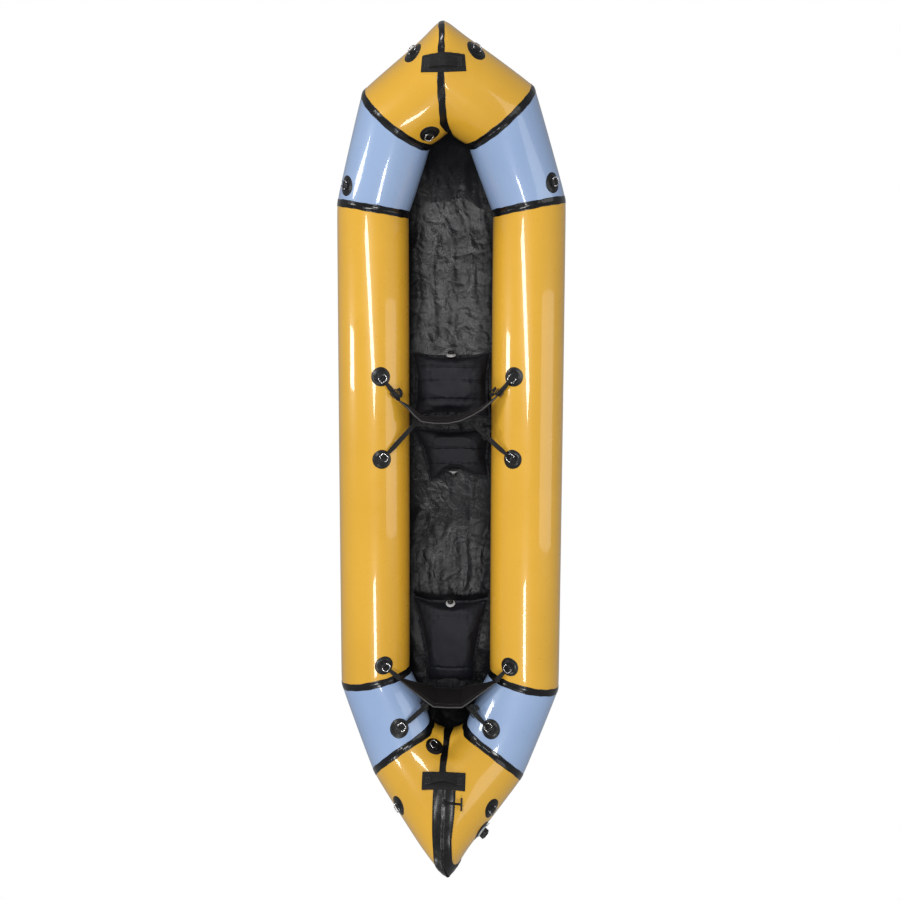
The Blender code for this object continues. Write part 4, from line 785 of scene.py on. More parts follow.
def make_floor():
    """The floor sheet, stretched between the tubes and drawn up at both ends, with its creases."""
    port = floor_edge(PORT)
    starboard = floor_edge(STARBOARD)
    u = np.sin(np.linspace(-1, 1, FLOOR_COLUMNS + 1) * math.pi / 2)[None]
    points = (port + starboard)[:, None] / 2 + (starboard - port)[:, None] / 2 * u[..., None]
    width = np.linalg.norm(starboard - port, axis=-1)[:, None]
    low, climb = FLOOR_RISE
    rise = np.clip(((port[:, 2] + starboard[:, 2]) / 2 - low) / climb, 0, 1)[:, None]
    points[..., 2] -= (FLOOR_SAG * (1 - rise) + FLOOR_END_SAG_SHARE * width * rise) * (1 - u ** 2)
    x, y = points[..., 0], points[..., 1]
    loose = (1 - np.abs(u) ** 6) * np.minimum(width / LOOSE_WIDTH, 1.0)
    ridges = 1 - np.abs(smooth_noise(points * (1.0, 0.28, 0.0), 13.0, 4.0)) * 2
    relief = CREASE * np.maximum(ridges, 0) ** 3
    relief += WAVE * smooth_noise(points * (1.0, 0.45, 0.0), 7.0, 9.0)
    relief += PLEAT * np.sin(x * 175 + 5 * smooth_noise(points, 6.0, 5.0)) * bell(y - PLEAT_PLACE, PLEAT_REACH)
    fans = np.maximum(np.sin((x * 0.8 + y * 0.6) * 60 + 5 * smooth_noise(points, 5.0, 2.0)), 0) ** 4
    relief += FAN * fans * np.clip((np.abs(y + 0.02) - FAN_START) / FAN_REACH, 0, 1)
    points[..., 2] += BULGE * bell(y - BULGE_PLACE, BULGE_REACH) * (1 - u ** 2) + loose * relief
    floor = add_piece("floor_sheet", [grid_mesh(points)], "floor_black", "hull", "floor_sheet")
    floor.modifiers.new("cloth", "SOLIDIFY").thickness = FLOOR_CLOTH


# ---- lashing patches and rings

# Each ring's tube, side, share of the tube's middle line and angle from its top
FREE_RINGS = {
    "bow_side_port": (BOW_END, PORT, 0.87, 40.0),
    "bow_side_starboard": (BOW_END, STARBOARD, 0.9, 39.0),
    "bow_inner": (BOW_END, PORT, *FLAT_SPOTS[BOW_END]),
    "bow_quarter_port": (BOW_QUARTER, PORT, 0.2, 42.0),
    "bow_quarter_starboard": (BOW_QUARTER, STARBOARD, 0.2, 42.0),
    "stern_inner": (STERN_END, PORT, *FLAT_SPOTS[STERN_END]),
    "stern_side_port": (STERN_END, PORT, 0.36, 38.0),
    "stern_side_starboard": (STERN_END, STARBOARD, 0.36, 36.0),
}
HELD_RINGS = {
    "front_upper": {PORT: (SIDE, PORT, 0.65, -20.0), STARBOARD: (SIDE, STARBOARD, 0.65, -24.0)},
    "front_lower": {PORT: (SIDE, PORT, 0.482, -21.0), STARBOARD: (SIDE, STARBOARD, 0.484, -25.0)},
    "rear_upper": {PORT: (SIDE, PORT, 0.049, -23.0), STARBOARD: (SIDE, STARBOARD, 0.052, -27.0)},
    "rear_lower": {PORT: (STERN_QUARTER, PORT, 0.376, -19.0),
                   STARBOARD: (STERN_QUARTER, STARBOARD, 0.376, -25.0)},
}

# Where the free rings point, from the tube's direction down its outboard flank
DOWN = 90.0
HEADINGS = {"bow_inner": 200.0, "stern_inner": 20.0}

# The patch, with its profile as (share of its radius, height), and the webbing keeper on it
PATCH_RADIUS = 0.037
PATCH_PROFILE = ((0.001, 0.0016), (0.25, 0.0016), (0.5, 0.0016), (0.56, 0.0018), (0.6, 0.0027),
                 (0.65, 0.0027), (0.69, 0.0017), (0.8, 0.0013), (0.93, 0.0013), (0.985, 0.0009), (1.0, -0.0006))
PATCH_COUNT = 64
KEEPER_WIDTH = 0.021
KEEPER_REACH = 0.013
KEEPER_THICKNESS = 0.0015
KEEPER_FOOT = -0.0023
KEEPER_HEEL = 0.0006
KEEPER_PLAY = 0.0009

# The wire ring
RING_HEIGHT = 0.0053
WIRE_RADIUS = 0.0019
RING_WIDTH = 0.03
RING_DEPTH = 0.023
RING_CORNER = 0.004
RING_CORNER_INSET = 0.0006
WELD_SHARE = 0.16
WELD_REACH = 0.0016
FREE_TILT = 12.0
HELD_TILT = 8.0


def patch_mesh(number, side, share, angle, radius=PATCH_RADIUS):
    """A round welded patch with a raised ring, following its tube."""
    tube = TUBES[number]
    girth = tube.radii[0] + (tube.radii[1] - tube.radii[0]) * share
    turns = round_turns(PATCH_COUNT)
    rows = []
    for reach_share, height in PATCH_PROFILE:
        reach = reach_share * radius * (1 + 0.006 * np.sin(5 * turns + number))
        _, part, turn = tube.spot(share + reach * np.cos(turns) / tube.length,
                                  angle + np.degrees(reach * np.sin(turns) / girth))
        rows.append(side_of(surface(number, part, turn, height), side))
    return grid_mesh(np.array(rows)[:, ::side], closed=True)


def ring_seat(number, side, share, angle, heading=DOWN, target=None):
    """The frame of a ring's bar: X along the bar, Y where the ring points, Z off the hull."""
    tube = TUBES[number]
    spot, _, turn = tube.spot(share, angle, RING_HEIGHT)
    centre, normal, down, along = (Vector(mirrored(vector, side)) for vector in
                                   (spot, tube.radial(turn), tube.radial(turn + 90.0), tube.axis))
    towards = along * math.cos(math.radians(heading)) + down * math.sin(math.radians(heading))
    if target is not None:
        towards = target - centre
    towards = (towards - normal * towards.dot(normal)).normalized()
    return frame_at(centre, towards.cross(normal), towards)


def keeper_mesh(seat):
    """The webbing strip over a ring's bar, its ends sewn to the patch."""
    top = WIRE_RADIUS + KEEPER_PLAY
    foot = [(KEEPER_REACH, KEEPER_FOOT), (KEEPER_REACH * 0.7, KEEPER_FOOT),
            (top * 1.5, KEEPER_FOOT + KEEPER_HEEL)]
    path = [(-y, z) for y, z in foot]
    path += [(-top * math.cos(t), top * math.sin(t)) for t in np.linspace(0.5, math.pi - 0.5, 7)]
    points = smooth_path([seat @ Vector((0, y, z)) for y, z in path + foot[::-1]], 40)
    return band_mesh(points, seat.to_3x3() @ X_AXIS, KEEPER_WIDTH, KEEPER_THICKNESS, 0.3)


def tilted(seat, angle):
    """A ring's frame, turned about its bar."""
    return seat @ Matrix.Rotation(math.radians(angle), 4, "X")


def ring_mesh(seat, tilt):
    """A bent wire ring: a straight bar and a broad bow, with the weld as a slight knob."""
    half = RING_WIDTH / 2
    corner = [(0.0, 0.0), (half - RING_CORNER, 0.0), (half - RING_CORNER_INSET, RING_CORNER * 0.35),
              (half, RING_CORNER)]
    bow = [(half * float(power(math.cos(turn), 0.6)),
            RING_CORNER + (RING_DEPTH - RING_CORNER) * math.sin(turn) ** 0.6)
           for turn in np.linspace(0, math.pi, 15)[1:-1]]
    spots = corner + bow + [(-x, y) for x, y in corner[::-1]]
    place = tilted(seat, tilt)
    path = smooth_path([place @ Vector((x, y, 0)) for x, y in spots], 97)[:-1]
    weld = bell(np.linalg.norm(path - path[len(path) // 4], axis=-1), WELD_REACH)
    return rod_mesh(path, WIRE_RADIUS * (1 + WELD_SHARE * weld), closed=True, count=14)


def make_ring(name, spot, seat, tilt, patch, body, *nodes):
    """A patch with its keeper, and the ring in it."""
    add_piece(patch, [patch_mesh(*spot), keeper_mesh(seat)], "patch_black", "hull", patch)
    add_piece(name + "_ring", [ring_mesh(seat, tilt)], "ring_steel", body, *nodes)


def make_free_rings():
    """The eight lashing rings that swing on their patches."""
    for name, spot in FREE_RINGS.items():
        seat = ring_seat(*spot, heading=HEADINGS.get(name, DOWN))
        make_ring(name, spot, seat, FREE_TILT, name + "_patch", name + "_ring", name + "_ring")


# ---- backrests

BAND_BOTTOM = 0.122
BAND_TOP = 0.268
BAND_THICKNESS = 0.019
BAND_END_THICKNESS = 0.007
BAND_END_HEIGHT = 0.03
BAND_HALF_WIDTH = 0.186
BAND_LEAN = 0.017
BAND_DEPTH = 0.104
BAND_LEVEL_SHARE = 0.42
BAND_COLUMNS = 150
BAND_AROUND = 72
BAND_CLOSING = math.pi / 2 * 0.97
BAND_FILL_SHARE = 0.93
BAND_CRUMPLE = 0.00091

# Bound edges, the rows of stitches at a share of the half height, and the folds as (share of the half width,
# depth)
BINDING_RADIUS = 0.002
PIPING_RADIUS = 0.0017
EDGE_INSET = 0.0006
STITCH_SHARE = 0.84
STITCH_REACH = 0.035
STITCH_FACE = 0.8
STITCH_DEPTH = 0.0017
STITCH_THICKNESS = 0.012
STITCH_RADIUS = 0.0005
STITCH_STOPS = 121
FOLD_REACH = 0.022
BAND_FOLDS = ((-0.28, 0.0022), (0.3, 0.0022), (-0.62, 0.0014), (0.62, 0.0014))

# Each backrest: its place along the boat, how high its lower straps are sewn and at which shares of its half
# width, its line from above as shares of the half width and of the depth, and the seed of its crumples
BANDS = {
    "front": (0.149512, 0.225, {PORT: -0.61, STARBOARD: 0.38},
              ((-1.0, 0.8), (-0.84, 0.58), (-0.68, 0.26), (-0.54, 0.06), (-0.28, 0.0), (0.0, 0.0),
               (0.26, 0.1), (0.5, 0.3), (0.7, 0.52), (0.86, 0.76), (1.0, 1.0)), 3.0),
    "rear": (-0.970488, 0.252, {PORT: -0.38, STARBOARD: 0.38},
             ((-1.0, 1.0), (-0.82, 0.74), (-0.62, 0.46), (-0.44, 0.2), (-0.3, 0.02), (0.0, 0.0),
              (0.3, 0.02), (0.44, 0.2), (0.62, 0.46), (0.82, 0.74), (1.0, 1.0)), 8.0),
}


def band_spot(row, share):
    """The middle of a backrest seen from above, and its direction to starboard."""
    y, _, _, line, _ = BANDS[row]
    spots = [np.array((s * BAND_HALF_WIDTH, y + np.interp(s, *np.transpose(line)) * BAND_DEPTH, 0.0))
             for s in (share - 0.01, share, share + 0.01)]
    return spots[1], unit(spots[2] - spots[0])


def band_section(row, share):
    """A backrest's middle point, direction astern, lower edge and thickness at a share of its half width."""
    inside = np.clip(share, -0.99, 0.99)
    point, along = band_spot(row, inside)
    point = point + along * (share - inside) * BAND_HALF_WIDTH
    rise = max((abs(share) - BAND_LEVEL_SHARE) / (1 - BAND_LEVEL_SHARE), 0) ** 0.8
    low = BAND_BOTTOM + (BAND_TOP - BAND_END_HEIGHT - BAND_BOTTOM) * rise
    thick = BAND_THICKNESS + (BAND_END_THICKNESS - BAND_THICKNESS) * abs(share) ** 3
    return point, np.array((along[1], -along[0], 0.0)), low, thick


def leaned(share, points):
    """Points of a backrest with its backward lean."""
    lean = BAND_LEAN * (1 - abs(share) ** 3) * (BAND_TOP - points[:, 2]) / (BAND_TOP - BAND_BOTTOM)
    return points + lean[:, None] * np.array(Y_AXIS)


def make_backrest(row):
    """A padded band on edge, bound along both edges and stitched in two lines."""
    shares = np.sin(np.linspace(-1, 1, BAND_COLUMNS) * BAND_CLOSING) / math.sin(BAND_CLOSING)
    turns = round_turns(BAND_AROUND)
    up = power(np.sin(turns), 0.55)
    out = power(np.cos(turns), 0.8)
    rows, edges, stitches = [], [], []
    upward = np.array(Z_AXIS)
    inset = EDGE_INSET * upward
    for share in shares:
        point, across, low, thick = band_section(row, share)
        middle = point + upward * (low + BAND_TOP) / 2
        half = upward * (BAND_TOP - low) / 2
        flat = across * thick / 2
        ring = leaned(share, middle + flat * BAND_FILL_SHARE * out[:, None] + half * up[:, None])
        relief = bell(np.abs(up) - STITCH_SHARE, STITCH_REACH) * np.abs(out) * min(thick / STITCH_THICKNESS, 1)
        relief *= STITCH_DEPTH
        for place, depth in BAND_FOLDS:
            relief += depth * bell(share - place, FOLD_REACH) * np.clip(1 - np.abs(up), 0, 1) ** 0.5
        crumple = BAND_CRUMPLE * smooth_noise(ring * (1.0, 1.0, 0.6), 38.0, BANDS[row][-1])
        rows.append(ring - across * (relief * np.sign(out) + crumple)[:, None])
        edges.append(leaned(share, np.array((middle - half + inset, middle + half - inset))))
        seams = leaned(share, np.array((middle - half * STITCH_SHARE, middle + half * STITCH_SHARE)))
        stitches.append([seam + flat * STITCH_FACE * face for seam in seams for face in (-1, 1)])
    lower, upper = np.transpose(edges, (1, 0, 2))
    name = row + "_backrest"
    pad = grid_mesh(capped(np.array(rows), 0.05), closed=True)
    add_piece(name, [pad, rod_mesh(lower, BINDING_RADIUS)], "band_black", name, name)
    # The upper piping takes the pale thread look: a painted highlight along the top edge.
    threads = [rod_mesh(upper, PIPING_RADIUS)]
    for line in zip(*stitches):
        line = smooth_path(line, STITCH_STOPS)
        threads += [rod_mesh(line[k:k + 2], STITCH_RADIUS, count=THREAD_COUNT)
                    for k in range(2, STITCH_STOPS - 3, 2)]
    add_piece(name + "_thread", threads, "webbing_black", name, material=THREAD_AND_HIGHLIGHT)


# ---- straps

STRAP_WIDTH = 0.019
STRAP_NECK = 0.013
STRAP_THICKNESS = 0.0017
STRAP_FOLD = 0.034
STRAP_STEP = 0.006
STRAP_GRAIN = 0.002
STRAP_RIPPLE = 0.0005
STRAP_SAG_SHARE = 0.03
STRAP_CLEARANCE = 0.0006
STRAP_SPREAD_SHARE = 0.84

# The eye round the ring's wire: its radius, half the distance between its two plies and how far it narrows
EYE_RADIUS = 0.0041
EYE_PLY = 0.00125
EYE_REACH = EYE_RADIUS * 2.4

# The buckle: half its width, its height on the strap, the bars along it as (start, stop, height, arch, radius),
# the bars across it as (place, height), and its place as a share of the strap
BUCKLE_HALF = 0.0135
BUCKLE_LIFT = 0.0012
BUCKLE_SIDE = (-0.0095, 0.0115, 0.0016, 0.0012, 0.0019)
BUCKLE_BARS = ((-0.009, 0.0022), (-0.002, 0.0022), (0.005, 0.0022), (0.0105, 0.0036))
BUCKLE_BAR_RADIUS = 0.0016
BUCKLE_SHARES = {"front_upper_port": 0.35, "front_upper_starboard": 0.55, "front_lower_starboard": 0.45,
                 "rear_lower_port": 0.75, "rear_lower_starboard": 0.4}

# The loose tail: its length, width and lift, its curl as (share of the length along the strap, distance off it,
# distance outboard), and its sides as (along the bar, along the strap, off it)
TAIL_LENGTH = 0.046
TAIL_WIDTH = 0.0145
TAIL_LIFT = 0.0048
TAIL_CURL = ((0.0, 0.0, 0.0), (0.3, 0.008, 0.004), (0.5, 0.004, 0.014), (0.25, -0.002, 0.024),
             (-0.1, 0.001, 0.022))
TAIL_SIDES = ((1.0, 0.0, 0.0), (1.0, 0.0, 0.0), (0.4, 0.9, 0.0), (-0.9, 0.5, 0.2), (-1.0, 0.0, 0.5))
TAIL_COUNT = 44


def strap_target(row, side, level):
    """Where a strap meets its backrest."""
    _, lower_height, lower_shares, _, _ = BANDS[row]
    if level == "upper":
        point, _, low, _ = band_section(row, side)
        inner, _ = band_spot(row, side * STRAP_SPREAD_SHARE)
        target = point + unit(point - inner) * STRAP_CLEARANCE
        target[2] = (low + BAND_TOP) / 2
    else:
        point, across, _, thick = band_section(row, lower_shares[side])
        target = point + across * (thick / 2 + STRAP_CLEARANCE)
        target[2] = lower_height
    return Vector(target)


def buckle_meshes(place):
    """A moulded ladder-lock buckle in its own frame: X across the strap, Y along it, Z off it."""
    start, stop, height, arch, radius = BUCKLE_SIDE
    meshes = []
    for x in (-BUCKLE_HALF, BUCKLE_HALF):
        path = [place @ Vector((x, y, height + arch * math.sin((y + 0.009) / 0.0195 * math.pi)))
                for y in np.linspace(start, stop, 9)]
        meshes.append(rod_mesh(path, radius, count=8))
    for y, z in BUCKLE_BARS:
        path = [place @ Vector((x, y, z)) for x in np.linspace(-BUCKLE_HALF, BUCKLE_HALF, 7)]
        meshes.append(rod_mesh(path, BUCKLE_BAR_RADIUS, count=8))
    return meshes


def tail_mesh(begin, bar, along, over, out):
    """The loose end of a strap, curling over beside its buckle."""
    curl = [begin + along * TAIL_LENGTH * share + over * lift + out * aside for share, lift, aside in TAIL_CURL]
    sides = [(bar * a + along * b + over * c).normalized() for a, b, c in TAIL_SIDES]
    return band_mesh(smooth_path(curl, TAIL_COUNT), smooth_path(sides, TAIL_COUNT), TAIL_WIDTH, STRAP_THICKNESS)


def make_strap(row, level, side_name, side):
    """A strap folded round its held ring, with its buckle and loose tail, and the ring on its patch."""
    name = "_".join((row, level, side_name))
    target = strap_target(row, side, level)
    ring = HELD_RINGS[row + "_" + level][side]
    seat = ring_seat(*ring, target=target)
    local = seat.inverted() @ target
    tilt = max(math.degrees(math.atan2(local.z, local.y)), HELD_TILT)
    make_ring(name, ring, seat, tilt, name + "_lashing", "hull")

    tip = tilted(seat, tilt) @ Vector((0, RING_DEPTH, 0))
    bar = seat.to_3x3() @ X_AXIS
    along = (target - tip).normalized()
    over = bar.cross(along).normalized()
    if over.z < 0:
        over = -over
    start = tip + along * STRAP_FOLD + over * EYE_PLY
    path = [tip + along * STRAP_FOLD - over * EYE_PLY, tip + along * EYE_REACH - over * EYE_PLY]
    for turn in np.radians(np.linspace(285, 75, 13)):
        path.append(tip + (along * math.cos(turn) + over * math.sin(turn)) * EYE_RADIUS)
    path.append(tip + along * EYE_REACH + over * EYE_PLY)
    fold = len(path)
    length = (target - start).length
    shares = np.linspace(0, 1, max(int(length / STRAP_STEP), 4) + 1)
    for share in shares:
        path.append(start.lerp(target, share) - Z_AXIS * STRAP_SAG_SHARE * length * math.sin(math.pi * share))
    upright = Z_AXIS if bar.z > 0 else -Z_AXIS
    sides = [bar] * fold + [bar.lerp(upright, share ** 5) for share in shares]
    widths = [STRAP_WIDTH] + [STRAP_NECK] * (fold - 1) + [STRAP_WIDTH] * len(shares)
    data = smooth_path([(*p, *s.normalized(), w) for p, s, w in zip(path, sides, widths)],
                       40 + int(length / STRAP_GRAIN))
    ripple = STRAP_RIPPLE * np.sin(data[:, :1] * 310 + 40 * data[:, 1:2])
    meshes = [band_mesh(data[:, :3] + np.array(over) * ripple, data[:, 3:6], data[:, 6], STRAP_THICKNESS)]
    if name in BUCKLE_SHARES:
        spot = start.lerp(target, BUCKLE_SHARES[name])
        way = bar if bar.cross(along).z > 0 else -bar
        buckle = add_piece(name + "_buckle", buckle_meshes(frame_at(spot + over * BUCKLE_LIFT, way, along)),
                           "zip_black", None)
        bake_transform(buckle)
        meshes.append(tail_mesh(spot + over * TAIL_LIFT, bar, along, over, -bar if side == PORT else bar))
    strap = add_piece(name + "_strap", meshes, "webbing_black", None)
    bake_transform(strap)
    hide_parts(name + "_strap")


def make_backrests():
    """Both backrests with their straps."""
    for row in BANDS:
        make_backrest(row)
        for level in ("upper", "lower"):
            for side_name, side in SIDES.items():
                make_strap(row, level, side_name, side)


# ---- cushions

# Each cushion: its welded channels as (share along it, half width as a share, depth), how strongly its sides
# gather, and its flange's width
CUSHIONS = {
    "front_seat": (((-0.42, 0.03, 0.0045), (0.12, 0.03, 0.0045), (0.55, 0.03, 0.004)), 1.2, 0.011),
    "foot_brace": (((-0.3, 0.032, 0.005), (0.25, 0.032, 0.0045)), 1.4, 0.01),
    "rear_seat": (((-0.55, 0.026, 0.005), (0.62, 0.022, 0.0018)), 1.3, 0.011),
}
START_SCALE = (1.03, 0.99, 0.94)
GRAIN = 0.0055
CLOTH = {"quality": 5, "mass": 0.15, "use_pressure": True, "uniform_pressure_force": 4.0,
         "tension_stiffness": 18, "compression_stiffness": 8, "bending_stiffness": 0.35, "shrink_min": -0.03}
SIM_FRAMES = 20
SWELL_CAP = 0.012

# Relief of the cloth: puffs beside the channels, gathers at the sides and the ends and how far these reach as
# shares, crumples and fine grain, and how far the cloth may pass its solid
PUFF = 0.0009
SIDE_GATHER = 0.0022
SIDE_REACH = 0.13
END_GATHER = 0.0014
END_REACH = 0.12
CRUMPLE = 0.0016
FINE = 0.0006
PAST_BOX = np.array((0.007, 0.001, 0.0))
PAST_TOP = np.array((0.0, 0.0, 0.004))

# The flange: its rows as (share of its width, height), and its outline's places
FLANGE_ROWS = ((-0.35, -0.0009), (0.9, -0.0008), (1.0, 0.0), (0.9, 0.0008), (-0.35, 0.0009))
FLANGE_RIPPLES = (0.0016, 0.0012)
RIM_COUNT = 220


def read_vertices(mesh, field="co"):
    """The vertices' places or normals."""
    values = np.empty(len(mesh.vertices) * 3, np.float32)
    mesh.vertices.foreach_get(field, values)
    return values.reshape(-1, 3).astype(float)


def place_vertices(mesh, points):
    mesh.vertices.foreach_set("co", np.asarray(points, np.float32).reshape(-1))
    mesh.update()


def settled(obj):
    """The object's mesh with its modifiers applied."""
    graph = bpy.context.evaluated_depsgraph_get()
    return bpy.data.meshes.new_from_object(obj.evaluated_get(graph))


def add_modifier(obj, name, kind, **settings):
    """A modifier with its settings."""
    modifier = obj.modifiers.new(name, kind)
    for key, value in settings.items():
        setattr(modifier, key, value)
    return modifier


def blow_up(obj, mesh):
    """Moves the cloth as simulated pressure does, by no more than the cap."""
    before = read_vertices(mesh)
    cloth = add_modifier(obj, "cloth", "CLOTH")
    for key, value in CLOTH.items():
        setattr(cloth.settings, key, value)
    cloth.settings.effector_weights.gravity = 0
    cloth.point_cache.frame_start = 1
    cloth.point_cache.frame_end = SIM_FRAMES
    for step in range(1, SIM_FRAMES + 1):
        bpy.context.scene.frame_set(step)
        bpy.context.evaluated_depsgraph_get().update()
    blown = settled(obj)
    move = read_vertices(blown) - before
    bpy.data.meshes.remove(blown)
    reach = np.linalg.norm(move, axis=1, keepdims=True)
    place_vertices(mesh, before + move * np.minimum(SWELL_CAP / np.maximum(reach, 1e-9), 1.0))
    obj.modifiers.clear()
    bpy.context.scene.frame_set(1)


def inflated(node):
    """A cushion's cloth, blown up by simulated pressure from a slightly smaller start."""
    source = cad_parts[node]
    mesh = source.data.copy()
    mesh.transform(source.matrix_world)
    mesh.materials.clear()
    points = read_vertices(mesh)
    centre = (points.min(axis=0) + points.max(axis=0)) / 2
    place_vertices(mesh, centre + (points - centre) * START_SCALE)
    obj = bpy.data.objects.new("cloth_" + node, mesh)
    bpy.context.scene.collection.objects.link(obj)
    add_modifier(obj, "grain", "REMESH", mode="VOXEL", voxel_size=GRAIN)
    start = settled(obj)
    obj.modifiers.clear()
    obj.data = start
    blow_up(obj, start)
    add_modifier(obj, "even", "SMOOTH", iterations=6, factor=0.5)
    add_modifier(obj, "fine", "SUBSURF", levels=1, render_levels=1)
    result = settled(obj)
    bpy.data.objects.remove(obj)
    result.shade_smooth()
    return result


def relief(points, u, v, box, channels, gather):
    """How far a cushion's upper cloth is lifted, at shares across and along it from -1 to 1."""
    groove = np.zeros(len(points))
    for place, half_width, depth in channels:
        bow = place + 0.03 * smooth_noise(points * (1.0, 0.0, 0.0), 9.0, place * 10) - 0.02 * u * u
        inside = np.clip((0.93 - np.abs(u)) / 0.08, 0, 1)
        waves = np.sin(u * 27 + 40 * place + 2.5 * smooth_noise(points, 12.0, 5.0))
        groove += (depth * bell(v - bow, half_width) + PUFF * waves * bell(v - bow, half_width * 3)) * inside
    side_near = np.exp(-np.clip(1 - np.abs(u), 0, 1) / SIDE_REACH)
    end_near = np.exp(-np.clip(1 - np.abs(v), 0, 1) / END_REACH)
    length = box[1][1] - box[0][1]
    waves = np.sin(v * length * 300 + 3 * smooth_noise(points, 14.0, 1.0) + 1.6 * np.sign(u))
    cross_waves = np.sin(u * 44 + 3 * smooth_noise(points, 14.0, 6.0))
    gathers = gather * (SIDE_GATHER * side_near * waves + END_GATHER * end_near * cross_waves)
    crumple = CRUMPLE * smooth_noise(points * (1.0, 0.7, 0.6), 21.0, 2.0)
    return gathers + crumple + FINE * smooth_noise(points, 60.0, 7.0) - groove


def rim_path(points, centre):
    """The cushion's outline seen from above, at its welded seam."""
    flat = (points - centre)[:, :2]
    bearing = np.arctan2(flat[:, 1], flat[:, 0])
    rim = []
    for turn in round_turns(RIM_COUNT) + math.pi / RIM_COUNT - math.pi:
        near = np.where(np.abs((bearing - turn + math.pi) % math.tau - math.pi) < math.tau / RIM_COUNT)[0]
        rim.append(points[near[np.argmax(np.linalg.norm(flat[near], axis=1))]])
    for _ in range(3):
        rim = (np.roll(rim, 1, axis=0) + 2 * np.array(rim) + np.roll(rim, -1, axis=0)) / 4
    return rim


def flange_mesh(rim, width):
    """The welded and rippled flange round a cushion."""
    outward = unit((rim - rim.mean(axis=0)) * (1.0, 1.0, 0.0))
    turn = np.arange(len(rim)) / len(rim)
    first, second = FLANGE_RIPPLES
    ripple = first * np.sin(turn * 260 + 2 * np.sin(turn * 40)) + second * np.sin(turn * 93)
    rows = []
    for reach, rise in FLANGE_ROWS:
        row = rim + outward * width * reach
        row[:, 2] += rise + ripple * max(reach, 0)
        rows.append(row)
    return grid_mesh(rows, closed=True)


def make_cushion(name):
    """A cushion with its channels, gathered sides and welded flange."""
    channels, gather, flange = CUSHIONS[name]
    box = np.array(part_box(name))
    mesh = inflated(name)
    points = read_vertices(mesh)
    normals = read_vertices(mesh, "normal")
    centre = (box[0] + box[1]) / 2
    u, v, _ = ((points - centre) / ((box[1] - box[0]) / 2)).T
    lift = np.clip(normals[:, 2] * 1.4, 0, 1) * relief(points, u, v, box, channels, gather)
    points = np.clip(points + normals * lift[:, None], box[0] - PAST_BOX, box[1] + PAST_BOX + PAST_TOP)
    place_vertices(mesh, points)
    add_piece(name, [mesh], "cushion_black", "hull", name)
    add_piece(name + "_flange", [flange_mesh(rim_path(points, centre), flange)], "cushion_black", "hull")


# ---- seat valves

# Each valve's centre and axis. Profiles are (radius, height)
SEAT_VALVES = {
    "front_seat_valve": ((0.0, 0.416228, 0.085505), (-0.000138, 0.891095, 0.453817)),
    "foot_brace_valve": ((0.010244, -0.054374, 0.075601), (0.0, -1.0, 0.0)),
    "rear_seat_valve": ((0.0, -0.605777, 0.085077), (-0.000126, 0.804096, 0.594499)),
}
FLANGE_PROFILE = ((0.0004, 0.0), (0.0178, 0.0), (0.019, 0.0007), (0.019, 0.0018), (0.0182, 0.0023),
                  (0.012, 0.0026), (0.0102, 0.0034), (0.0092, 0.0045), (0.0088, 0.007), (0.0086, 0.0086),
                  (0.0004, 0.0086))
KNOB_PROFILE = ((0.0004, 0.0088), (0.0118, 0.0088), (0.0125, 0.0098), (0.0125, 0.015), (0.0118, 0.0172),
                (0.0102, 0.0182), (0.0004, 0.0184))
KNOB_RIBS = {"count": 72, "ribs": 12, "rib_depth": 0.07, "rib_start": 0.011}
WING_HEIGHT = 0.0192
WING_HALF = 0.009
WING_SIZE = (0.0022, 0.0034)


def make_seat_valves():
    """The twist valves: a light flange and stem, and a dark ribbed knob with a wing."""
    for name, (centre, axis) in SEAT_VALVES.items():
        axis = Vector(axis).normalized()
        place = frame_at(centre, X_AXIS - axis * axis.x, axis.cross(X_AXIS))
        add_piece(name + "_flange", [revolved_mesh(FLANGE_PROFILE, place)], "valve_grey", name, name)
        ridge = smooth_path([place @ Vector((x, 0, WING_HEIGHT)) for x in (-WING_HALF, 0.0, WING_HALF)], 12)
        meshes = [revolved_mesh(KNOB_PROFILE, place, **KNOB_RIBS), band_mesh(ridge, axis, *WING_SIZE)]
        add_piece(name + "_knob", meshes, "valve_black", name)


# ---- handles

# Each handle: its seam, its angle round it and its patch's width along it
HANDLES = {"bow_handle": (BOW_SEAM, 38.0, 0.06), "stern_handle": (STERN_SEAM, -8.5, 0.062)}
HANDLE_SHIFT = -0.004
HANDLE_PATCH_LENGTH = 0.164
HANDLE_PATCH_ROWS = (-1.0, -0.985, -0.93, -0.7, -0.35, 0.0, 0.35, 0.7, 0.93, 0.985, 1.0)
PATCH_COLUMNS = 61
PATCH_LIFT = 0.0042
PATCH_EDGE_LIFT = 0.0004
PATCH_RIPPLE = 0.0005
WEB_LENGTH = 0.14
WEB_WIDTH = 0.03
WEB_THICKNESS = 0.0022
WEB_LIFT = 0.0052
WEB_COUNT = 81
HANDLE_ARCH = 0.024
HANDLE_FOOT = 0.018
LINING_WIDTH_SHARE = 0.8
LINING_THICKNESS = 0.0018
LINING_DROP = 0.0021

# The crossed box of stitches on each foot: places along the grip, half its width, height, thread radius, and
# the stitch count of its ends, sides and diagonals
BOX_STOPS = (WEB_LENGTH / 2 - 0.003, WEB_LENGTH / 2 - HANDLE_FOOT + 0.001)
BOX_HALF = 0.012
BOX_LIFT = 0.0066
BOX_THREAD = 0.00055
BOX_LINES = ((0, 1, 8), (2, 3, 8), (0, 2, 5), (1, 3, 5), (0, 3, 9), (1, 2, 9))


def stitch_line(start, stop, count):
    """A line of separate stitches."""
    step = (stop - start) / count
    return [rod_mesh([start + step * (k + 0.1), start + step * (k + 0.8)], BOX_THREAD, count=THREAD_COUNT)
            for k in range(count)]


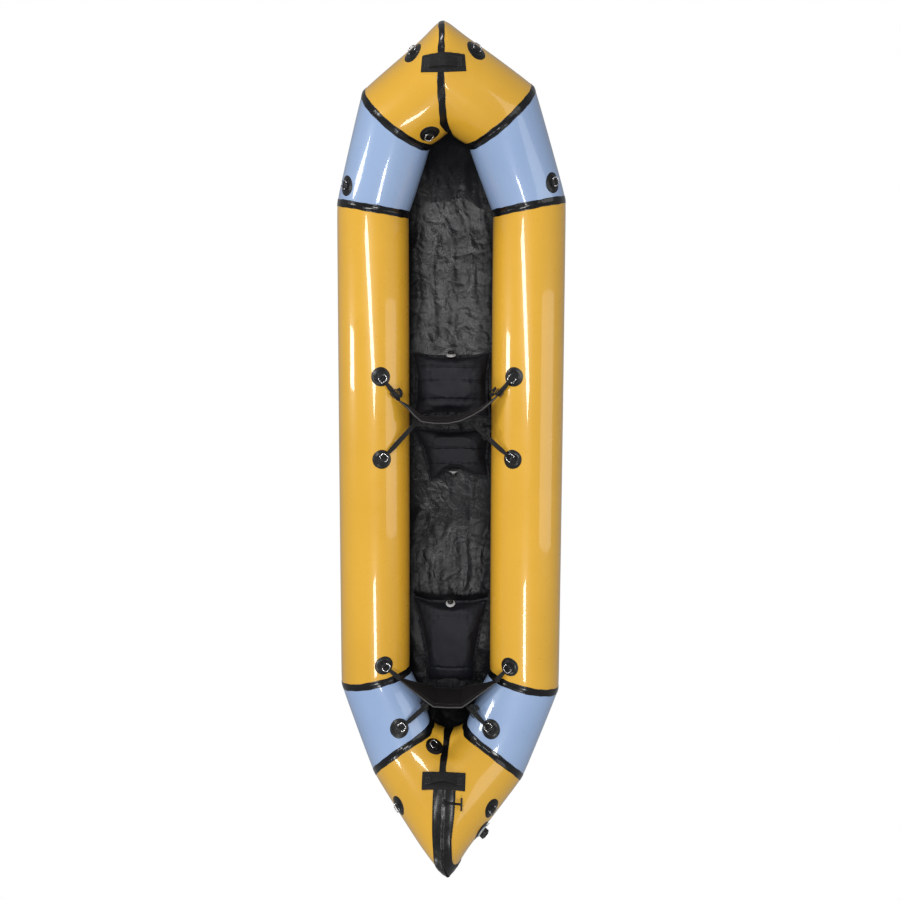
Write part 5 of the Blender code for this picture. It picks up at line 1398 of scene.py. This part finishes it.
def make_handle(name):
    """A sewn patch across the middle seam, and the webbing grip on it."""
    seam, angle, width = HANDLES[name]
    half_turn = seam.turn_for(width, angle) / 2
    shares = np.array(HANDLE_PATCH_ROWS)[:, None]
    columns = np.linspace(-1, 1, PATCH_COLUMNS)
    rim = np.maximum(np.abs(shares), np.abs(columns))
    offset = np.where(rim > 0.998, PATCH_EDGE_LIFT, PATCH_LIFT)
    offset = offset + PATCH_RIPPLE * np.sin(columns * 21) * (rim > 0.9)
    points = seam.spot(angle + half_turn * shares, columns * HANDLE_PATCH_LENGTH / 2 + HANDLE_SHIFT, offset)

    half = WEB_LENGTH / 2
    stops = np.linspace(-half, half, WEB_COUNT)
    up = seam.upright(angle)
    flank = seam.flank(angle)
    share = np.minimum(np.abs(stops) / (half - HANDLE_FOOT), 1.0)
    rise = HANDLE_ARCH * (1 - share ** 2.2) ** 0.8
    path = smooth_path(seam.spot(angle, stops + HANDLE_SHIFT, WEB_LIFT) + up * rise[:, None], WEB_COUNT)
    web = band_mesh(path, flank, WEB_WIDTH, WEB_THICKNESS)
    lining = band_mesh(path[12:-12] - up * LINING_DROP, flank, WEB_WIDTH * LINING_WIDTH_SHARE, LINING_THICKNESS)
    add_piece(name, [grid_mesh(points), web, lining], "webbing_black", "hull", name)

    threads = []
    for end in (-1, 1):
        corners = [seam.spot(angle, end * stop + HANDLE_SHIFT, BOX_LIFT) + flank * BOX_HALF * side
                   for stop in BOX_STOPS for side in (-1, 1)]
        for start, stop, count in BOX_LINES:
            threads += stitch_line(corners[start], corners[stop], count)
    add_piece(name + "_thread", threads, "webbing_black", "hull", material=THREAD_AND_HIGHLIGHT)


# ---- zip

# The strip, from one angle round the stern to another, with its rows as shares of its half width, the rows of
# stitches among them, and the drift of its middle. It broadens below the tip
ZIP_WIDTH = 0.084
ZIP_FIRST = -1.2
ZIP_LAST = 140.0
ZIP_COUNT = 150
ZIP_ROWS = (-1.0, -0.99, -0.96, -0.86, -0.83, -0.8, -0.5, -0.2, -0.15, -0.1, 0.0,
            0.1, 0.15, 0.2, 0.5, 0.8, 0.83, 0.86, 0.96, 0.99, 1.0)
ZIP_STITCH_ROWS = (0.83, 0.15)
ZIP_STITCH_LIFT = 0.0006
ZIP_LIFT = 0.0034
ZIP_EDGE_LIFT = 0.0004
ZIP_WAVE = 0.0007
ZIP_BROADER = 0.38
ZIP_DRIFT = ((-180.0, 0.0), (22.0, 0.0), (40.0, -0.003), (60.0, 0.0), (110.0, 0.01), (150.0, 0.01))

# The teeth, each through (distance across, height), and where they start and stop
TOOTH = ((-0.0016, 0.0048), (0.0008, 0.0048), (0.004, 0.0045))
TOOTH_RADIUS = 0.0012
TOOTH_PITCH = 0.0045
TEETH = (24.0, ZIP_LAST - 12.0)

# The slider on the chain, and its bridge as (along it, height)
SLIDER_ANGLE = 9.5
SLIDER_SIZE = (0.015, 0.024, 0.0065)
SLIDER_LIFT = 0.0068
SLIDER_ROUNDING = 0.0016
BRIDGE = ((-0.0055, 0.0055), (-0.0058, 0.0105), (-0.004, 0.0143), (0.0, 0.0145))
BRIDGE_RADIUS = 0.0012

# The pull: its hinge, tilt and eye, its shank as distances and widths, and its grip
PULL_HINGE = (0.0, -1.222415, 0.49846)
PULL_TILT = 21.0
PULL_EYE = (0.0036, 0.0014)
SHANK_STOPS = (0.0036, 0.012, 0.03, 0.05, 0.066, 0.072)
SHANK_WIDTHS = ((0, 0.15, 0.5, 0.9, 1), (0.005, 0.0085, 0.0075, 0.0085, 0.0095))
SHANK_THICKNESS = 0.0034
SHANK_COUNT = 30
GRIP_REACH = 0.0702
GRIP_HALF = 0.0215
GRIP_RADIUS = 0.0036
GRIP_SWELL = 0.0006
GRIP_COUNT = 15


def rounded_box(size, place, rounding):
    """A box with rounded edges, its base's middle at the frame's origin."""
    bm = bmesh.new()
    bmesh.ops.create_cube(bm, size=1.0)
    for vertex in bm.verts:
        vertex.co = Vector((vertex.co.x * size[0], vertex.co.y * size[1], (vertex.co.z + 0.5) * size[2]))
    bmesh.ops.bevel(bm, geom=bm.edges[:], offset=rounding, segments=3, affect="EDGES", profile=0.5)
    bmesh.ops.transform(bm, matrix=place, verts=bm.verts)
    return mesh_of(bm)


def make_zip():
    """The broad sewn strip and its closed chain."""
    angles = np.linspace(ZIP_FIRST, ZIP_LAST, ZIP_COUNT)
    broad = 1 + ZIP_BROADER * np.clip((angles - 40) / 60, 0, 1)
    rows = []
    for share in ZIP_ROWS:
        height = ZIP_EDGE_LIFT if abs(share) == 1 else ZIP_LIFT
        height += ZIP_STITCH_LIFT * (abs(share) in ZIP_STITCH_ROWS)
        edge = ZIP_WIDTH / 2 * share * broad * (1 + 0.02 * np.sin(np.radians(angles) * 6 + share))
        wave = ZIP_WAVE * smooth_noise([(angle / 9, share, 0.0) for angle in angles], 1.0)
        rows.append(STERN_SEAM.drifted(ZIP_DRIFT, angles, edge, height + np.maximum(wave, -0.0006)))
    meshes = [grid_mesh(rows)]
    angle, last = TEETH
    side = -1
    while angle < last:
        tooth = [STERN_SEAM.drifted(ZIP_DRIFT, angle, side * across, height) for across, height in TOOTH]
        meshes.append(rod_mesh(tooth, TOOTH_RADIUS, count=6))
        angle += STERN_SEAM.turn_for(TOOTH_PITCH / 2, angle)
        side = -side
    add_piece("zip_strip", meshes, "zip_black", "hull", "zip_strip")


def slider_seat():
    """The slider's frame on the sharp seam: X to starboard, Y round the seam, Z off it."""
    ahead = STERN_SEAM.flank(SLIDER_ANGLE)
    normal = np.cross(X_AXIS, ahead)
    if normal @ STERN_SEAM.upright(SLIDER_ANGLE) < 0:
        normal = -normal
    origin = STERN_SEAM.ridge(SLIDER_ANGLE) + normal * SLIDER_LIFT
    return frame_of(origin, np.cross(ahead, normal), ahead, normal)


def make_slider_and_pull():
    """The slider with its bridge, and the T-shaped pull."""
    seat = slider_seat()
    arch = BRIDGE + tuple((-y, z) for y, z in BRIDGE[-2::-1])
    bridge = smooth_path([seat @ Vector((0, y, z)) for y, z in arch], 40)
    body = rounded_box(SLIDER_SIZE, seat, SLIDER_ROUNDING)
    add_piece("zip_slider", [body, rod_mesh(bridge, BRIDGE_RADIUS)], "zip_black", "zip_slider", "zip_slider")

    hinge = Matrix.Translation(PULL_HINGE) @ seat.to_3x3().to_4x4()
    side = 1 if (hinge.to_3x3() @ X_AXIS).x > 0 else -1
    swing = hinge @ Matrix.Rotation(math.radians(PULL_TILT) * side, 4, "Y")
    reach, wire = PULL_EYE
    eye = [swing @ Vector((reach * math.cos(t), 0, reach * math.sin(t))) for t in round_turns(24)]
    shank = smooth_path([swing @ Vector((side * x, 0, 0)) for x in SHANK_STOPS], SHANK_COUNT)
    widths = np.interp(np.linspace(0, 1, SHANK_COUNT), *SHANK_WIDTHS)
    grip = [swing @ Vector((side * GRIP_REACH, y, 0)) for y in np.linspace(-GRIP_HALF, GRIP_HALF, GRIP_COUNT)]
    gauge = GRIP_RADIUS + GRIP_SWELL * np.cos(np.linspace(-1, 1, GRIP_COUNT) * math.pi) ** 2
    meshes = [rod_mesh(eye, wire, closed=True),
              band_mesh(shank, swing.to_3x3() @ Y_AXIS, widths, SHANK_THICKNESS),
              rod_mesh(grip, gauge, count=14)]
    add_piece("zip_pull", meshes, "zip_black", "zip_pull", "zip_pull")


# ---- inflation valve

VALVE_SPOT = (STERN_END, STARBOARD, 0.1, 60.0)
VALVE_PATCH_RADIUS = 0.04
VALVE_CENTRE = (0.139081, -1.388685, 0.39914)
VALVE_AXIS = (0.778998, -0.482477, 0.400471)
VALVE_BASE = ((0.0004, -0.0006), (0.024, -0.0006), (0.024, 0.0028), (0.0232, 0.004), (0.0218, 0.0045),
              (0.0185, 0.0046), (0.0168, 0.005), (0.0165, 0.006), (0.0165, 0.0118), (0.0158, 0.0125),
              (0.0004, 0.0125))
VALVE_CAP = ((0.0172, 0.0066), (0.0186, 0.0066), (0.0192, 0.0074), (0.0192, 0.019), (0.0186, 0.0208),
             (0.0168, 0.0215), (0.011, 0.0215), (0.01, 0.0207), (0.0004, 0.0206))
CAP_RIBS = {"count": 96, "ribs": 16, "rib_depth": 0.045, "rib_start": 0.0185}
CAP_BAR = (0.024, 0.0042, 0.0046)
CAP_BAR_HEIGHT = 0.02
CAP_BAR_ROUNDING = 0.001
TETHER_SPOTS = ((0.0236, 0.0, 0.003), (0.029, 0.0075, 0.0046), (0.037, 0.007, 0.0052),
                (0.0405, 0.0, 0.005), (0.037, -0.007, 0.0044), (0.029, -0.007, 0.0034),
                (0.0236, -0.0012, 0.0024))
TETHER_RADIUS = 0.0013


def make_inflation_valve():
    """The valve's patch, flange and boss, its tether loop and its ribbed cap."""
    along = Vector(mirrored(TUBES[STERN_END].axis, STARBOARD))
    place = frame_at(VALVE_CENTRE, along, Vector(VALVE_AXIS).normalized().cross(along))
    tether = smooth_path([place @ Vector(spot) for spot in TETHER_SPOTS], 60)
    meshes = [revolved_mesh(VALVE_BASE, place, 64), rod_mesh(tether, TETHER_RADIUS)]
    add_piece("inflation_valve", meshes, "valve_grey", "hull", "inflation_valve")
    add_piece("inflation_valve_patch", [patch_mesh(*VALVE_SPOT, VALVE_PATCH_RADIUS)], "patch_black", "hull")
    top = place @ Matrix.Translation((0, 0, CAP_BAR_HEIGHT))
    meshes = [revolved_mesh(VALVE_CAP, place, **CAP_RIBS), rounded_box(CAP_BAR, top, CAP_BAR_ROUNDING)]
    add_piece("valve_cap", meshes, "valve_black", "valve_cap", "valve_cap")


# ---- studio

# The photograph's camera
CAMERA_PLACE = Vector((0.1738, 0.2639, 3.0071))
CAMERA_TARGET = Vector((-0.0002, 0.0375, 0.14))
CAMERA_ROLL = -0.0026
CAMERA_LENS = 28.784

# The surround's colour and light. The camera sees it white
SURROUND = (0.95, 0.97, 1.0, 1.0)
SURROUND_LIGHT = 0.34
WHITE = (1.0, 1.0, 1.0, 1.0)

# Each lamp: its place, target, size and power
LAMPS = {
    "top_lamp": ((-0.35, 0.92, 3.4), (0.0, 0.57, 0.2), (0.42, 2.14), 58.0),
    "stern_top_lamp": ((0.15, -1.7, 3.2), (0.0, -0.8, 0.2), (0.42, 0.9), 27.0),
    "port_lamp": ((-4.2, 0.6, 2.1), (0.0, 0.0, 0.2), (0.6, 1.1), 43.0),
    "starboard_lamp": ((3.8, 0.0, 2.0), (0.0, 0.0, 0.2), (2.4, 3.2), 42.0),
    "bow_lamp": ((-1.7, 4.4, 2.7), (0.0, -0.6, 0.2), (1.3, 0.6), 54.0),
    "stern_lamp": ((-1.7, -4.4, 2.7), (0.0, 0.6, 0.2), (1.3, 0.6), 47.0),
}


def add_camera():
    """The camera, set where the photograph was taken."""
    data = bpy.data.cameras.new("photo_camera")
    data.lens = CAMERA_LENS
    data.sensor_width = 36.0
    camera = bpy.data.objects.new("photo_camera", data)
    ahead = (CAMERA_TARGET - CAMERA_PLACE).normalized()
    right = ahead.cross(Vector((math.sin(CAMERA_ROLL), math.cos(CAMERA_ROLL), 0.0))).normalized()
    camera.matrix_world = frame_of(CAMERA_PLACE, right, right.cross(ahead), -ahead)
    scene = bpy.context.scene
    scene.collection.objects.link(camera)
    scene.camera = camera
    scene.view_settings.view_transform = "Standard"


def add_surround():
    """Pale light from all round, seen as white."""
    world = bpy.data.worlds.new("surround")
    bpy.context.scene.world = world
    world.use_nodes = True
    tree = world.node_tree
    light = tree.nodes["Background"]
    light.inputs["Color"].default_value = SURROUND
    light.inputs["Strength"].default_value = SURROUND_LIGHT
    seen = add_node(tree, "Background", {"Color": WHITE, "Strength": 1.0})
    path = add_node(tree, "LightPath")
    mix = add_node(tree, "MixShader", {"Fac": path.outputs["Is Camera Ray"], 1: light.outputs["Background"],
                                       2: seen.outputs["Background"]})
    tree.links.new(mix.outputs["Shader"], tree.nodes["World Output"].inputs["Surface"])


def add_lamps():
    """Soft lamps for the long reflections."""
    for name, (place, target, size, power) in LAMPS.items():
        data = bpy.data.lights.new(name, "AREA")
        data.shape = "RECTANGLE"
        data.size, data.size_y = size
        data.energy = power
        lamp = bpy.data.objects.new(name, data)
        bpy.context.scene.collection.objects.link(lamp)
        lamp.location = place
        lamp.rotation_euler = (Vector(target) - Vector(place)).to_track_quat("-Z", "Y").to_euler()


make_hull()
make_tapes()
make_floor()
make_free_rings()
make_backrests()
for cushion_name in CUSHIONS:
    make_cushion(cushion_name)
make_seat_valves()
for handle_name in HANDLES:
    make_handle(handle_name)
make_zip()
make_slider_and_pull()
make_inflation_valve()
add_camera()
add_surround()
add_lamps()
